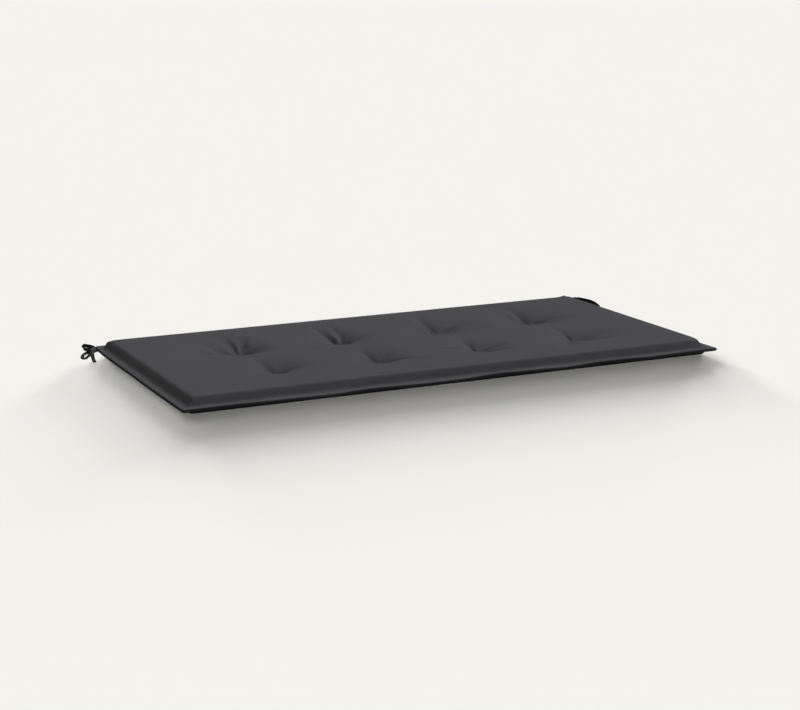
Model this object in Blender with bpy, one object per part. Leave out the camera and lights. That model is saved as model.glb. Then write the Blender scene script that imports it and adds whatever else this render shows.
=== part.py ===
"""Bench cushion: one filled body with a flat sewn border, eight tufts and a tied bow at each back corner.

Metres, +Z up. The origin is under the middle of the cushion, on the surface that it lies on.
+X runs along the bench and +Y points to the back of the seat.
"""

import math
from collections import namedtuple

import bmesh
import bpy
from mathutils import Vector

# ---------------------------------------------------------------- driving dimensions

LENGTH = 1.000
DEPTH = 0.500
HEIGHT = 0.030

BORDER_WIDTH = 0.013
BORDER_THICKNESS = 0.005
BORDER_MIDDLE = 0.010
BORDER_TOP = BORDER_MIDDLE + BORDER_THICKNESS / 2
BORDER_UNDER = BORDER_MIDDLE - BORDER_THICKNESS / 2
BORDER_EDGE = BORDER_THICKNESS / 5
CORNER_RADIUS = 0.003
MITRE_SOFTNESS = 0.005
SAG_REACH = 0.050

TUFT_PITCH = 0.194
TUFT_ROW_PLACE = DEPTH / 6
TUFT_ROWS_MIDDLE = -0.0135
LEAST_REACH = 0.0001
LEAST_TOP = 0.0085
LEAST_TOP_BAND = 0.0035
UNDER_TUFT_DEPTH = 0.005
UNDER_TUFT_RADIUS = 0.045

TIE_DIAMETER = 0.0056
TIE_POINT_STEP = 0.006
KNOT_CORE = Vector((0.0066, 0.0064, 0.0064))
KNOT_WRAP_RADIUS = 0.0045
KNOT_WRAP_THICKNESS = 0.0026

CLOTH_COLOUR = (0.074, 0.074, 0.079, 1.0)
TIE_COLOUR = (0.050, 0.050, 0.054, 1.0)
CLOTH_ROUGHNESS = 0.85

# ---------------------------------------------------------------- tables

Section = namedtuple("Section", "inset height")

# The top panel from the border's edge inwards: border, side wall, shoulder and crown.
TOP_SECTIONS = (
    Section(0.0000, BORDER_MIDDLE + BORDER_EDGE),
    Section(0.0010, BORDER_TOP),
    Section(0.0085, BORDER_TOP + 0.0001),
    Section(0.0125, BORDER_TOP + 0.0011),
    Section(0.0150, 0.0162),
    Section(0.0180, 0.0207),
    Section(0.0210, 0.0248),
    Section(0.0240, 0.0270),
    Section(0.0300, 0.0278),
    Section(0.0600, 0.0292),
    Section(0.1100, HEIGHT),
)

# The underside from the border's edge inwards: border, side wall and the flat face it lies on.
UNDER_SECTIONS = (
    Section(0.0000, BORDER_MIDDLE - BORDER_EDGE),
    Section(0.0010, BORDER_UNDER),
    Section(0.0125, BORDER_UNDER - 0.0003),
    Section(0.0150, 0.0052),
    Section(0.0180, 0.0004),
    Section(0.0210, 0.0000),
    Section(0.0240, 0.0000),
)

Ripple = namedtuple("Ripple", "place rise")

# How far the border's outer edge lifts or sinks, along each side from end to end.
FRONT_RIPPLES = (
    Ripple(-0.500, 0.0000),
    Ripple(-0.440, 0.0008),
    Ripple(-0.340, -0.0004),
    Ripple(-0.255, -0.0016),
    Ripple(-0.183, 0.0007),
    Ripple(-0.065, -0.0016),
    Ripple(0.060, 0.0016),
    Ripple(0.183, -0.0016),
    Ripple(0.270, 0.0016),
    Ripple(0.380, -0.0003),
    Ripple(0.450, 0.0011),
    Ripple(0.500, 0.0009),
)
BACK_RIPPLES = (
    Ripple(-0.500, -0.0006),
    Ripple(-0.410, 0.0010),
    Ripple(-0.290, -0.0014),
    Ripple(-0.170, 0.0012),
    Ripple(-0.030, -0.0012),
    Ripple(0.110, 0.0015),
    Ripple(0.240, -0.0013),
    Ripple(0.380, 0.0009),
    Ripple(0.500, -0.0006),
)
LEFT_RIPPLES = (
    Ripple(-0.250, 0.0000),
    Ripple(-0.150, -0.0014),
    Ripple(-0.060, -0.0018),
    Ripple(0.020, -0.0013),
    Ripple(0.120, -0.0017),
    Ripple(0.250, -0.0006),
)
RIGHT_RIPPLES = (
    Ripple(-0.250, 0.0009),
    Ripple(-0.120, -0.0010),
    Ripple(-0.020, 0.0008),
    Ripple(0.080, -0.0007),
    Ripple(0.170, 0.0009),
    Ripple(0.250, -0.0006),
)

CornerSag = namedtuple("CornerSag", "side_x side_y depth")

# How much lower the filling lies in each corner.
CORNER_SAGS = (
    CornerSag(-1, 1, 0.0024),
    CornerSag(1, -1, 0.0026),
    CornerSag(-1, -1, 0.0004),
    CornerSag(1, 1, 0.0010),
)

TUFT_COLUMNS = "column row shift_x shift_y depth reach point blunt lean_x lean_y stretch"
Tuft = namedtuple("Tuft", TUFT_COLUMNS)

# One row for each tuft: its place in the pattern, how far it sits off the even pitch, how deep,
# wide, sharp and blunt its hollow is, how much wider it is towards +X and towards +Y, and how much
# longer it is along the bench than across it.
TUFTS = (
    Tuft(-1.5, 1, 0.0038, 0.0049, 0.0210, 0.118, 2.17, 0.0037, -0.51, 0.02, 0.03),
    Tuft(-0.5, 1, -0.0018, 0.0022, 0.0237, 0.172, 6.47, 0.0043, -0.05, -0.27, -0.17),
    Tuft(0.5, 1, -0.0010, -0.0018, 0.0201, 0.226, 4.93, 0.0038, 0.16, -0.21, 0.09),
    Tuft(1.5, 1, 0.0010, 0.0101, 0.0214, 0.117, 2.07, -0.0028, 0.01, -0.32, -0.08),
    Tuft(-1.5, -1, 0.0062, -0.0017, 0.0230, 0.106, 3.62, 0.0014, -0.03, 0.03, -0.12),
    Tuft(-0.5, -1, 0.0011, -0.0027, 0.0224, 0.091, 2.36, 0.0024, -0.26, 0.06, -0.03),
    Tuft(0.5, -1, -0.0028, -0.0063, 0.0183, 0.100, 3.12, 0.0026, 0.16, -0.06, -0.14),
    Tuft(1.5, -1, 0.0060, 0.0055, 0.0231, 0.143, 4.26, -0.0002, 0.28, -0.23, 0.02),
)

Fold = namedtuple("Fold", "tuft heading length half_width depth bend start")

# The main folds that run out from the tufts, by the tuft's row in the table above: heading and
# bend in degrees. A fold with a negative depth is a ridge.
FOLDS = (
    Fold(0, 78, 0.092, 0.008, -0.0065, 11, 0.000),
    Fold(0, -27, 0.067, 0.014, 0.0064, -11, 0.000),
    Fold(0, 82, 0.135, 0.018, 0.0059, 33, 0.000),
    Fold(0, 152, 0.082, 0.010, 0.0050, -49, 0.000),
    Fold(0, 169, 0.135, 0.013, 0.0041, 29, 0.032),
    Fold(0, -54, 0.095, 0.018, 0.0041, -7, 0.016),
    Fold(1, 105, 0.125, 0.012, 0.0075, -18, 0.000),
    Fold(1, 53, 0.086, 0.013, 0.0053, 50, 0.007),
    Fold(1, 211, 0.116, 0.018, 0.0040, -2, 0.035),
    Fold(2, 91, 0.133, 0.014, 0.0075, -11, 0.002),
    Fold(2, 26, 0.055, 0.006, 0.0069, -31, 0.007),
    Fold(2, 110, 0.052, 0.004, -0.0065, -50, 0.003),
    Fold(3, -28, 0.080, 0.009, 0.0060, -34, 0.013),
    Fold(3, 80, 0.135, 0.015, 0.0046, 26, 0.000),
    Fold(3, 139, 0.085, 0.008, 0.0040, -50, 0.000),
    Fold(3, 36, 0.070, 0.016, -0.0037, -14, 0.001),
    Fold(4, 111, 0.094, 0.012, 0.0053, -31, 0.001),
    Fold(5, 102, 0.085, 0.010, 0.0049, -13, 0.005),
    Fold(5, -42, 0.135, 0.010, 0.0043, -5, 0.000),
    Fold(5, 190, 0.074, 0.005, 0.0041, -26, 0.000),
    Fold(6, 102, 0.077, 0.011, 0.0064, -32, 0.006),
    Fold(6, 2, 0.079, 0.006, 0.0048, -23, 0.003),
    Fold(6, 187, 0.054, 0.016, 0.0043, -37, 0.006),
    Fold(6, 194, 0.100, 0.005, 0.0040, -50, 0.024),
    Fold(6, 205, 0.099, 0.018, 0.0039, 9, 0.025),
    Fold(7, 230, 0.135, 0.018, 0.0075, -3, 0.035),
    Fold(7, -15, 0.135, 0.014, 0.0055, 46, 0.003),
    Fold(7, 206, 0.128, 0.018, 0.0049, 5, 0.008),
    Fold(7, 91, 0.067, 0.013, 0.0048, 30, 0.010),
    Fold(7, -47, 0.086, 0.012, 0.0038, 4, 0.018),
)

FOLD_NARROWEST = 0.35
FOLD_OPENS = 1.6
FOLD_FADE_IN = 0.18
FOLD_FADE_OUT = 0.72
FOLD_SHARPNESS = 1.6

# Distances from a tuft at which the mesh has a line, on both sides of it, and the least
# distance between two lines.
TUFT_LINES = (0.000, 0.006, 0.013, 0.022, 0.034, 0.050, 0.072)
LEAST_LINE_STEP = 0.0009

# Faces of the underside that lie flat on the surface are merged into larger ones.
FLAT_TOLERANCE = 1e-7
FLAT_ANGLE = math.radians(0.4)

# The ties. Each run is the middle line of one stretch, and every run that meets the knot
# ends inside it. The knot lies on the surface, just off the back corner.
KnottedTie = namedtuple("KnottedTie", "knot runs")

LEFT_TIE = KnottedTie(
    knot=(-0.5076, 0.2424, 0.0074),
    runs={
        "root": (
            (-0.5003, 0.2440, 0.0092),
            (-0.5035, 0.2438, 0.0088),
            (-0.5066, 0.2430, 0.0080),
        ),
        "back loop": (
            (-0.5078, 0.2440, 0.0096),
            (-0.5082, 0.2505, 0.0126),
            (-0.5118, 0.2566, 0.0132),
            (-0.5148, 0.2622, 0.0122),
            (-0.5164, 0.2648, 0.0096),
            (-0.5168, 0.2586, 0.0068),
            (-0.5148, 0.2528, 0.0048),
            (-0.5106, 0.2490, 0.0044),
            (-0.5080, 0.2446, 0.0052),
        ),
        "front loop": (
            (-0.5094, 0.2415, 0.0046),
            (-0.5149, 0.2430, 0.0034),
            (-0.5223, 0.2363, 0.0031),
            (-0.5298, 0.2231, 0.0031),
            (-0.5335, 0.2085, 0.0031),
            (-0.5318, 0.2013, 0.0031),
            (-0.5260, 0.2098, 0.0031),
            (-0.5193, 0.2206, 0.0031),
            (-0.5137, 0.2295, 0.0038),
            (-0.5096, 0.2375, 0.0050),
        ),
        "front end": (
            (-0.5090, 0.2398, 0.0098),
            (-0.5108, 0.2303, 0.0090),
            (-0.5138, 0.2175, 0.0066),
            (-0.5162, 0.2060, 0.0042),
            (-0.5188, 0.1926, 0.0031),
            (-0.5220, 0.1770, 0.0031),
        ),
        "back end": (
            (-0.5050, 0.2460, 0.0046),
            (-0.5010, 0.2550, 0.0034),
            (-0.4940, 0.2620, 0.0031),
            (-0.4840, 0.2660, 0.0031),
            (-0.4730, 0.2668, 0.0031),
            (-0.4620, 0.2640, 0.0031),
        ),
    },
)
RIGHT_TIE = KnottedTie(
    knot=(0.5072, 0.2462, 0.0090),
    runs={
        "root": (
            (0.5003, 0.2440, 0.0098),
            (0.5035, 0.2442, 0.0096),
            (0.5066, 0.2454, 0.0092),
        ),
        "front loop": (
            (0.5086, 0.2470, 0.0130),
            (0.5135, 0.2410, 0.0149),
            (0.5176, 0.2310, 0.0147),
            (0.5214, 0.2190, 0.0143),
            (0.5240, 0.2070, 0.0128),
            (0.5258, 0.1965, 0.0100),
            (0.5266, 0.1890, 0.0066),
            (0.5250, 0.1856, 0.0040),
            (0.5222, 0.1905, 0.0044),
            (0.5196, 0.2000, 0.0056),
            (0.5166, 0.2130, 0.0074),
            (0.5132, 0.2280, 0.0086),
            (0.5100, 0.2390, 0.0086),
            (0.5078, 0.2435, 0.0080),
        ),
        "back loop": (
            (0.5096, 0.2510, 0.0120),
            (0.5125, 0.2592, 0.0126),
            (0.5142, 0.2690, 0.0104),
            (0.5138, 0.2778, 0.0072),
            (0.5098, 0.2818, 0.0046),
            (0.5052, 0.2780, 0.0037),
            (0.5032, 0.2680, 0.0036),
            (0.5040, 0.2580, 0.0042),
            (0.5052, 0.2505, 0.0058),
        ),
        "front end": (
            (0.5060, 0.2430, 0.0100),
            (0.5072, 0.2365, 0.0102),
            (0.5080, 0.2290, 0.0084),
            (0.5083, 0.2190, 0.0050),
            (0.5084, 0.2060, 0.0032),
            (0.5094, 0.1900, 0.0031),
            (0.5130, 0.1745, 0.0031),
        ),
        "back end": (
            (0.5040, 0.2484, 0.0074),
            (0.4985, 0.2570, 0.0044),
            (0.4885, 0.2640, 0.0031),
            (0.4770, 0.2660, 0.0031),
            (0.4640, 0.2625, 0.0031),
        ),
    },
)


# ---------------------------------------------------------------- scene helpers


def clear_scene():
    for item in list(bpy.data.objects):
        bpy.data.objects.remove(item, do_unlink=True)


def new_collection(name):
    collection = bpy.data.collections.new(name)
    bpy.context.scene.collection.children.link(collection)
    return collection


def new_material(name, colour, roughness):
    material = bpy.data.materials.new(name)
    material.use_nodes = True
    shader = material.node_tree.nodes["Principled BSDF"]
    shader.inputs["Base Color"].default_value = colour
    shader.inputs["Roughness"].default_value = roughness
    shader.inputs["Metallic"].default_value = 0.0
    return material


def mesh_object(name, bm, collection, material):
    mesh = bpy.data.meshes.new(name)
    bm.to_mesh(mesh)
    bm.free()
    mesh.shade_smooth()
    mesh.materials.append(material)
    item = bpy.data.objects.new(name, mesh)
    collection.objects.link(item)
    return item


# ---------------------------------------------------------------- the filled body


def ease(share):
    share = min(max(share, 0.0), 1.0)
    return share * share * (3.0 - 2.0 * share)


def section_height(sections, inset):
    for near, far in zip(sections, sections[1:]):
        if inset <= far.inset:
            share = (inset - near.inset) / (far.inset - near.inset)
            return near.height + (far.height - near.height) * share
    return sections[-1].height


def ripple_rise(ripples, place):
    for near, far in zip(ripples, ripples[1:]):
        if place <= far.place:
            share = (place - near.place) / (far.place - near.place)
            return near.rise + (far.rise - near.rise) * ease(share)
    return ripples[-1].rise


def insets(x, y):
    """Distances in from the nearer end and from the nearer long side."""
    return LENGTH / 2 - abs(x), DEPTH / 2 - abs(y)


def edge_inset(x, y):
    """Distance in from the border's edge, with the mitres at the corners softened."""
    end, side = insets(x, y)
    overlap = max(MITRE_SOFTNESS - abs(end - side), 0.0) / MITRE_SOFTNESS
    return max(min(end, side) - overlap * overlap * MITRE_SOFTNESS / 4, 0.0)


def border_rise(x, y):
    """The ripple of the border, full at its edge and nothing at its seam."""
    end, side = insets(x, y)
    along_front = ripple_rise(FRONT_RIPPLES if y < 0 else BACK_RIPPLES, x)
    along_end = ripple_rise(LEFT_RIPPLES if x < 0 else RIGHT_RIPPLES, y)
    to_end = ease(0.5 + (side - end) / (2 * MITRE_SOFTNESS))
    rise = along_front + (along_end - along_front) * to_end
    return rise * max(1.0 - min(end, side) / BORDER_WIDTH, 0.0)


def corner_sag(x, y):
    """How much lower the filling lies near a corner."""
    end, side = insets(x, y)
    near = ease(1.0 - end / SAG_REACH) * ease(1.0 - side / SAG_REACH)
    for corner in CORNER_SAGS:
        if corner.side_x * x > 0 and corner.side_y * y > 0:
            return corner.depth * near
    return 0.0


def tuft_place(tuft):
    return (
        tuft.column * TUFT_PITCH + tuft.shift_x,
        TUFT_ROWS_MIDDLE + tuft.row * TUFT_ROW_PLACE + tuft.shift_y,
    )


def bowl_depth(tuft, dx, dy):
    """How far one tuft draws the top down at a place beside it."""
    reach = max(math.hypot(dx, dy), LEAST_REACH)
    out_x, out_y = dx / reach, dy / reach
    lean = tuft.lean_x * out_x + tuft.lean_y * out_y
    stretch = tuft.stretch * (out_x**2 - out_y**2)
    widest = tuft.reach * (1.0 + lean + stretch)
    rounded = math.hypot(reach, tuft.blunt) - tuft.blunt
    return tuft.depth * max(1.0 - rounded / widest, 0.0) ** tuft.point


def fold_depth(fold, dx, dy):
    """How far one fold sinks the top at a place beside its tuft."""
    angle = math.radians(fold.heading)
    along = dx * math.cos(angle) + dy * math.sin(angle)
    across = -dx * math.sin(angle) + dy * math.cos(angle)
    share = (along - fold.start) / (fold.length - fold.start)
    if share <= 0.0 or share >= 1.0:
        return 0.0
    curve = math.radians(fold.bend) * share * along / 2
    narrow = FOLD_NARROWEST + (1.0 - FOLD_NARROWEST) * ease(share * FOLD_OPENS)
    off = abs((across - curve) / (fold.half_width * narrow))
    fade = ease(share / FOLD_FADE_IN) * ease((1.0 - share) / FOLD_FADE_OUT)
    return fold.depth * fade * math.exp(-(off**FOLD_SHARPNESS))


def top_hollow(x, y):
    """How far the tufts and their folds draw the top panel down at a place."""
    depth = 0.0
    for tuft in TUFTS:
        place_x, place_y = tuft_place(tuft)
        depth += bowl_depth(tuft, x - place_x, y - place_y)
    for fold in FOLDS:
        place_x, place_y = tuft_place(TUFTS[fold.tuft])
        depth += fold_depth(fold, x - place_x, y - place_y)
    return depth


def under_hollow(x, y):
    """How far the tufts draw the underside up at a place."""
    height = 0.0
    for tuft in TUFTS:
        place_x, place_y = tuft_place(tuft)
        reach = math.hypot(x - place_x, y - place_y) / UNDER_TUFT_RADIUS
        if reach < 1.0:
            height += UNDER_TUFT_DEPTH * (1.0 - reach) ** 2
    return height


def top_height(x, y):
    panel = section_height(TOP_SECTIONS, edge_inset(x, y))
    full = min(max((panel - BORDER_TOP) / (HEIGHT - BORDER_TOP), 0.0), 1.0)
    height = panel - full * corner_sag(x, y) + border_rise(x, y) - top_hollow(x, y)
    over = (height - LEAST_TOP) / LEAST_TOP_BAND
    if over < 1.0 and edge_inset(x, y) > 2 * BORDER_WIDTH:
        height = LEAST_TOP + LEAST_TOP_BAND * math.exp(over - 1.0)
    return height


def under_height(x, y):
    panel = section_height(UNDER_SECTIONS, edge_inset(x, y))
    return panel + border_rise(x, y) + under_hollow(x, y)


def round_corner(x, y):
    """Moves a place near one of the four corners in, so that the corner has its radius."""
    end, side = insets(x, y)
    out_x = CORNER_RADIUS - end
    out_y = CORNER_RADIUS - side
    if out_x <= 0.0 or out_y <= 0.0:
        return x, y
    share = max(out_x, out_y) / math.hypot(out_x, out_y)
    centre_x = math.copysign(LENGTH / 2 - CORNER_RADIUS, x)
    centre_y = math.copysign(DEPTH / 2 - CORNER_RADIUS, y)
    return (
        centre_x + math.copysign(out_x * share, x),
        centre_y + math.copysign(out_y * share, y),
    )


def mesh_lines(half, places):
    """Where the mesh has its lines from one side to the other: at the edges' sections and the tufts."""
    edge_steps = [section.inset for section in TOP_SECTIONS[:-1]]
    lines = [-half + step for step in edge_steps]
    lines += [half - step for step in edge_steps]
    for place in places:
        for step in TUFT_LINES:
            lines += [place - step, place + step]
    lines = sorted(set(round(line, 6) for line in lines))
    kept = [lines[0]]
    for line in lines[1:]:
        if line - kept[-1] > LEAST_LINE_STEP:
            kept.append(line)
    return kept


def add_panel(bm, lines_x, lines_y, height_at):
    """One panel of cloth as a grid, each point at its place and height."""
    count_x, count_y = len(lines_x) - 1, len(lines_y) - 1
    made = bmesh.ops.create_grid(bm, x_segments=count_x, y_segments=count_y, size=1.0)
    for vert in made["verts"]:
        x = lines_x[round((vert.co.x + 1) / 2 * count_x)]
        y = lines_y[round((vert.co.y + 1) / 2 * count_y)]
        height = height_at(x, y)
        x, y = round_corner(x, y)
        vert.co = Vector((x, y, height))
    return made["verts"]


def add_cushion(collection, material):
    columns = sorted(set(tuft.column * TUFT_PITCH for tuft in TUFTS))
    rows = sorted(set(TUFT_ROWS_MIDDLE + tuft.row * TUFT_ROW_PLACE for tuft in TUFTS))
    lines_x = mesh_lines(LENGTH / 2, columns)
    lines_y = mesh_lines(DEPTH / 2, rows)
    bm = bmesh.new()
    add_panel(bm, lines_x, lines_y, top_height)
    under = add_panel(bm, lines_x, lines_y, under_height)
    rims = [edge for edge in bm.edges if edge.is_boundary]
    bmesh.ops.bridge_loops(bm, edges=rims)
    flat = set(vert for vert in under if abs(vert.co.z) < FLAT_TOLERANCE)
    bmesh.ops.dissolve_limit(
        bm,
        angle_limit=FLAT_ANGLE,
        verts=[vert for vert in bm.verts if vert in flat],
        edges=[edge for edge in bm.edges if flat.issuperset(edge.verts)],
    )
    bmesh.ops.recalc_face_normals(bm, faces=bm.faces)
    return mesh_object("cushion", bm, collection, material)


# ---------------------------------------------------------------- the ties


def smooth_route(points, step):
    """Points at about one step apart on a smooth curve through the route's own points."""
    route = [Vector(point) for point in points]
    ends = [2 * route[0] - route[1]] + route + [2 * route[-1] - route[-2]]
    smooth = []
    for before, start, end, after in zip(ends, ends[1:], ends[2:], ends[3:]):
        count = max(1, round((end - start).length / step))
        for index in range(count):
            t = index / count
            smooth.append(
                0.5
                * (
                    2 * start
                    + (end - before) * t
                    + (2 * before - 5 * start + 4 * end - after) * t**2
                    + (3 * start - before - 3 * end + after) * t**3
                )
            )
    smooth.append(route[-1])
    return smooth


def tube_from_route(name, points, collection):
    """One stretch of tie as a closed round tube mesh."""
    curve = bpy.data.curves.new(name, "CURVE")
    curve.dimensions = "3D"
    curve.bevel_depth = TIE_DIAMETER / 2
    curve.bevel_resolution = 2
    curve.use_fill_caps = True
    route = smooth_route(points, TIE_POINT_STEP)
    spline = curve.splines.new("POLY")
    spline.points.add(len(route) - 1)
    for point, place in zip(spline.points, route):
        point.co = (*place, 1.0)
    drawn = bpy.data.objects.new(name, curve)
    collection.objects.link(drawn)
    bpy.context.view_layer.update()
    depsgraph = bpy.context.evaluated_depsgraph_get()
    mesh = bpy.data.meshes.new_from_object(drawn.evaluated_get(depsgraph))
    bpy.data.objects.remove(drawn, do_unlink=True)
    bm = bmesh.new()
    bm.from_mesh(mesh)
    bmesh.ops.remove_doubles(bm, verts=bm.verts, dist=1e-6)
    bmesh.ops.recalc_face_normals(bm, faces=bm.faces)
    bm.to_mesh(mesh)
    bm.free()
    tube = bpy.data.objects.new(name, mesh)
    collection.objects.link(tube)
    return tube


def knot_core(name, collection, material):
    """The tight middle of the bow."""
    bm = bmesh.new()
    bmesh.ops.create_uvsphere(bm, u_segments=14, v_segments=8, radius=1.0)
    bmesh.ops.scale(bm, vec=KNOT_CORE, verts=bm.verts)
    return mesh_object(name, bm, collection, material)


def knot_wrap(name, centre, collection):
    """The turn of tie that goes round the knot's waist."""
    bpy.ops.mesh.primitive_torus_add(
        major_segments=16,
        minor_segments=8,
        major_radius=KNOT_WRAP_RADIUS,
        minor_radius=KNOT_WRAP_THICKNESS,
        location=centre,
        rotation=(math.radians(90), 0.0, math.radians(12)),
    )
    ring = bpy.context.object
    ring.name = name
    for home in list(ring.users_collection):
        home.objects.unlink(ring)
    collection.objects.link(ring)
    return ring


def join_to(body, piece):
    """Fuses a piece into the body and hides the piece as a cutter."""
    fuse = body.modifiers.new(piece.name, "BOOLEAN")
    fuse.operation = "UNION"
    fuse.solver = "EXACT"
    fuse.object = piece
    piece.hide_render = True
    piece.display_type = "WIRE"


def add_tie(name, tie, parts, cutters, material):
    knot = knot_core(name, parts, material)
    knot.location = tie.knot
    join_to(knot, knot_wrap(name + "_wrap", tie.knot, cutters))
    for run, points in tie.runs.items():
        join_to(knot, tube_from_route(f"{name}_{run.replace(' ', '_')}", points, cutters))
    return knot


# ---------------------------------------------------------------- the whole object


def main():
    clear_scene()
    parts = new_collection("bench_cushion")
    cutters = new_collection("cutters")
    cloth = new_material("cushion_cloth", CLOTH_COLOUR, CLOTH_ROUGHNESS)
    tape = new_material("tie_cloth", TIE_COLOUR, CLOTH_ROUGHNESS)
    add_cushion(parts, cloth)
    add_tie("tie_back_left", LEFT_TIE, parts, cutters, tape)
    add_tie("tie_back_right", RIGHT_TIE, parts, cutters, tape)


main()
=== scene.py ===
"""The looks of the bench cushion: its filled body, sewn border, tufts, stitching and corner bows.

Metres, +Z up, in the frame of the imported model. The front edge faces -Y and the bows are at +Y.
"""

import logging
import math
from dataclasses import dataclass
from enum import Enum
from typing import Optional, Sequence

import bmesh
import bpy
import numpy as np
from mathutils import Matrix, Vector


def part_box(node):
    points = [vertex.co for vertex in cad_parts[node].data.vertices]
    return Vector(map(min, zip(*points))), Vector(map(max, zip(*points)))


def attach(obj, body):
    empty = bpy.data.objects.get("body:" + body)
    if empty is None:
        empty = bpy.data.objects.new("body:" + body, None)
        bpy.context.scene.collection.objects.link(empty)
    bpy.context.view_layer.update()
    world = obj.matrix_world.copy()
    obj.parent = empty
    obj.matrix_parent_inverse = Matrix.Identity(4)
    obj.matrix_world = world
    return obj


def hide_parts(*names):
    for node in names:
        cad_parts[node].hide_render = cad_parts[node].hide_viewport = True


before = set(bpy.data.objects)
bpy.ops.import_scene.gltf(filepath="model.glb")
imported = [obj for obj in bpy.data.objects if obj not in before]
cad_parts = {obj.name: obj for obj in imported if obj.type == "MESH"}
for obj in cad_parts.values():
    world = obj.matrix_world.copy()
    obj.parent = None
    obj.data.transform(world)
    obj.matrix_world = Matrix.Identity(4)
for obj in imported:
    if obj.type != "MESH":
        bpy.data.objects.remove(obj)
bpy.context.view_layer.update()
CUSHION_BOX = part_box("cushion")

log = logging.getLogger("bench_cushion")

Colour = tuple[float, float, float, float]
Place = tuple[float, float, float]
Grid = np.ndarray

BODY = "root"
IMAGE_WIDTH_PX = 800
MID_TONE = 0.5

# Nearer to a tuft's stitch than this, its hollow has no direction to lean in.
STITCH_REACH = 1e-5


# ---------------------------------------------------------------- named options


class Side(Enum):
    """Which back corner a bow is tied at."""

    LEFT = -1
    RIGHT = 1


class Face(Enum):
    """Which panel of the cushion a point lies on."""

    TOP = 0
    UNDER = 1


class Slot(Enum):
    """The record's material slots."""

    CLOTH = "cushion_cloth"
    TIE = "tie_cloth"


# ---------------------------------------------------------------- shader groups


class NodeSheet:
    """A node tree that is filled from left to right by short calls."""

    def __init__(self, tree: bpy.types.NodeTree) -> None:
        """Keeps the tree that the calls add to."""
        self.tree = tree

    def put(self, socket: bpy.types.NodeSocket, value: object) -> None:
        """Joins an input to an output, or sets it to a plain value.

        Args:
            socket: The input to fill.
            value: An output socket, or a number, vector or colour.
        """
        if isinstance(value, bpy.types.NodeSocket):
            self.tree.links.new(value, socket)
        else:
            socket.default_value = value

    def add(self, kind: str, inputs: Optional[dict] = None, **settings: object) -> bpy.types.Node:
        """Adds a node, sets its plain properties and then fills its inputs.

        Args:
            kind: The node's class name in Blender.
            inputs: What goes into the inputs, by their names or numbers.
            settings: Property names and values.

        Returns:
            The new node.
        """
        node = self.tree.nodes.new(kind)
        for name, value in settings.items():
            setattr(node, name, value)
        for key, value in (inputs or {}).items():
            self.put(node.inputs[key], value)
        return node

    def math(self, operation: str, *values: object, clamp: bool = False) -> bpy.types.NodeSocket:
        """Works out one number from others, held between 0 and 1 if clamp is on."""
        inputs = dict(enumerate(values))
        return self.add("ShaderNodeMath", inputs, operation=operation, use_clamp=clamp).outputs[0]

    def blend(self, share: object, low: object, high: object) -> bpy.types.NodeSocket:
        """Mixes two colours by a share of the second, from 0 to 1."""
        return self.add("ShaderNodeMix", {"Factor": share, 6: low, 7: high}, data_type="RGBA").outputs[2]

    def noise(self, vector: object, scale: float, detail: float = 2.0) -> bpy.types.NodeSocket:
        """Reads a noise value around the middle tone, with its waves per metre and its octaves."""
        inputs = {"Vector": vector, "Scale": scale, "Detail": detail}
        return self.add("ShaderNodeTexNoise", inputs).outputs["Fac"]


def new_group(name: str, inputs: dict[str, str], outputs: dict[str, str]) -> bpy.types.NodeTree:
    """Starts a shader node group with named sockets.

    Args:
        name: The group's name.
        inputs: Socket names and their types.
        outputs: Socket names and their types.

    Returns:
        The group, with its input and output nodes in place.
    """
    group = bpy.data.node_groups.new(name, "ShaderNodeTree")
    for direction, sockets in (("INPUT", inputs), ("OUTPUT", outputs)):
        for label, kind in sockets.items():
            group.interface.new_socket(name=label, in_out=direction, socket_type=kind)
    group.nodes.new("NodeGroupInput")
    group.nodes.new("NodeGroupOutput")
    return group


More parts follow.
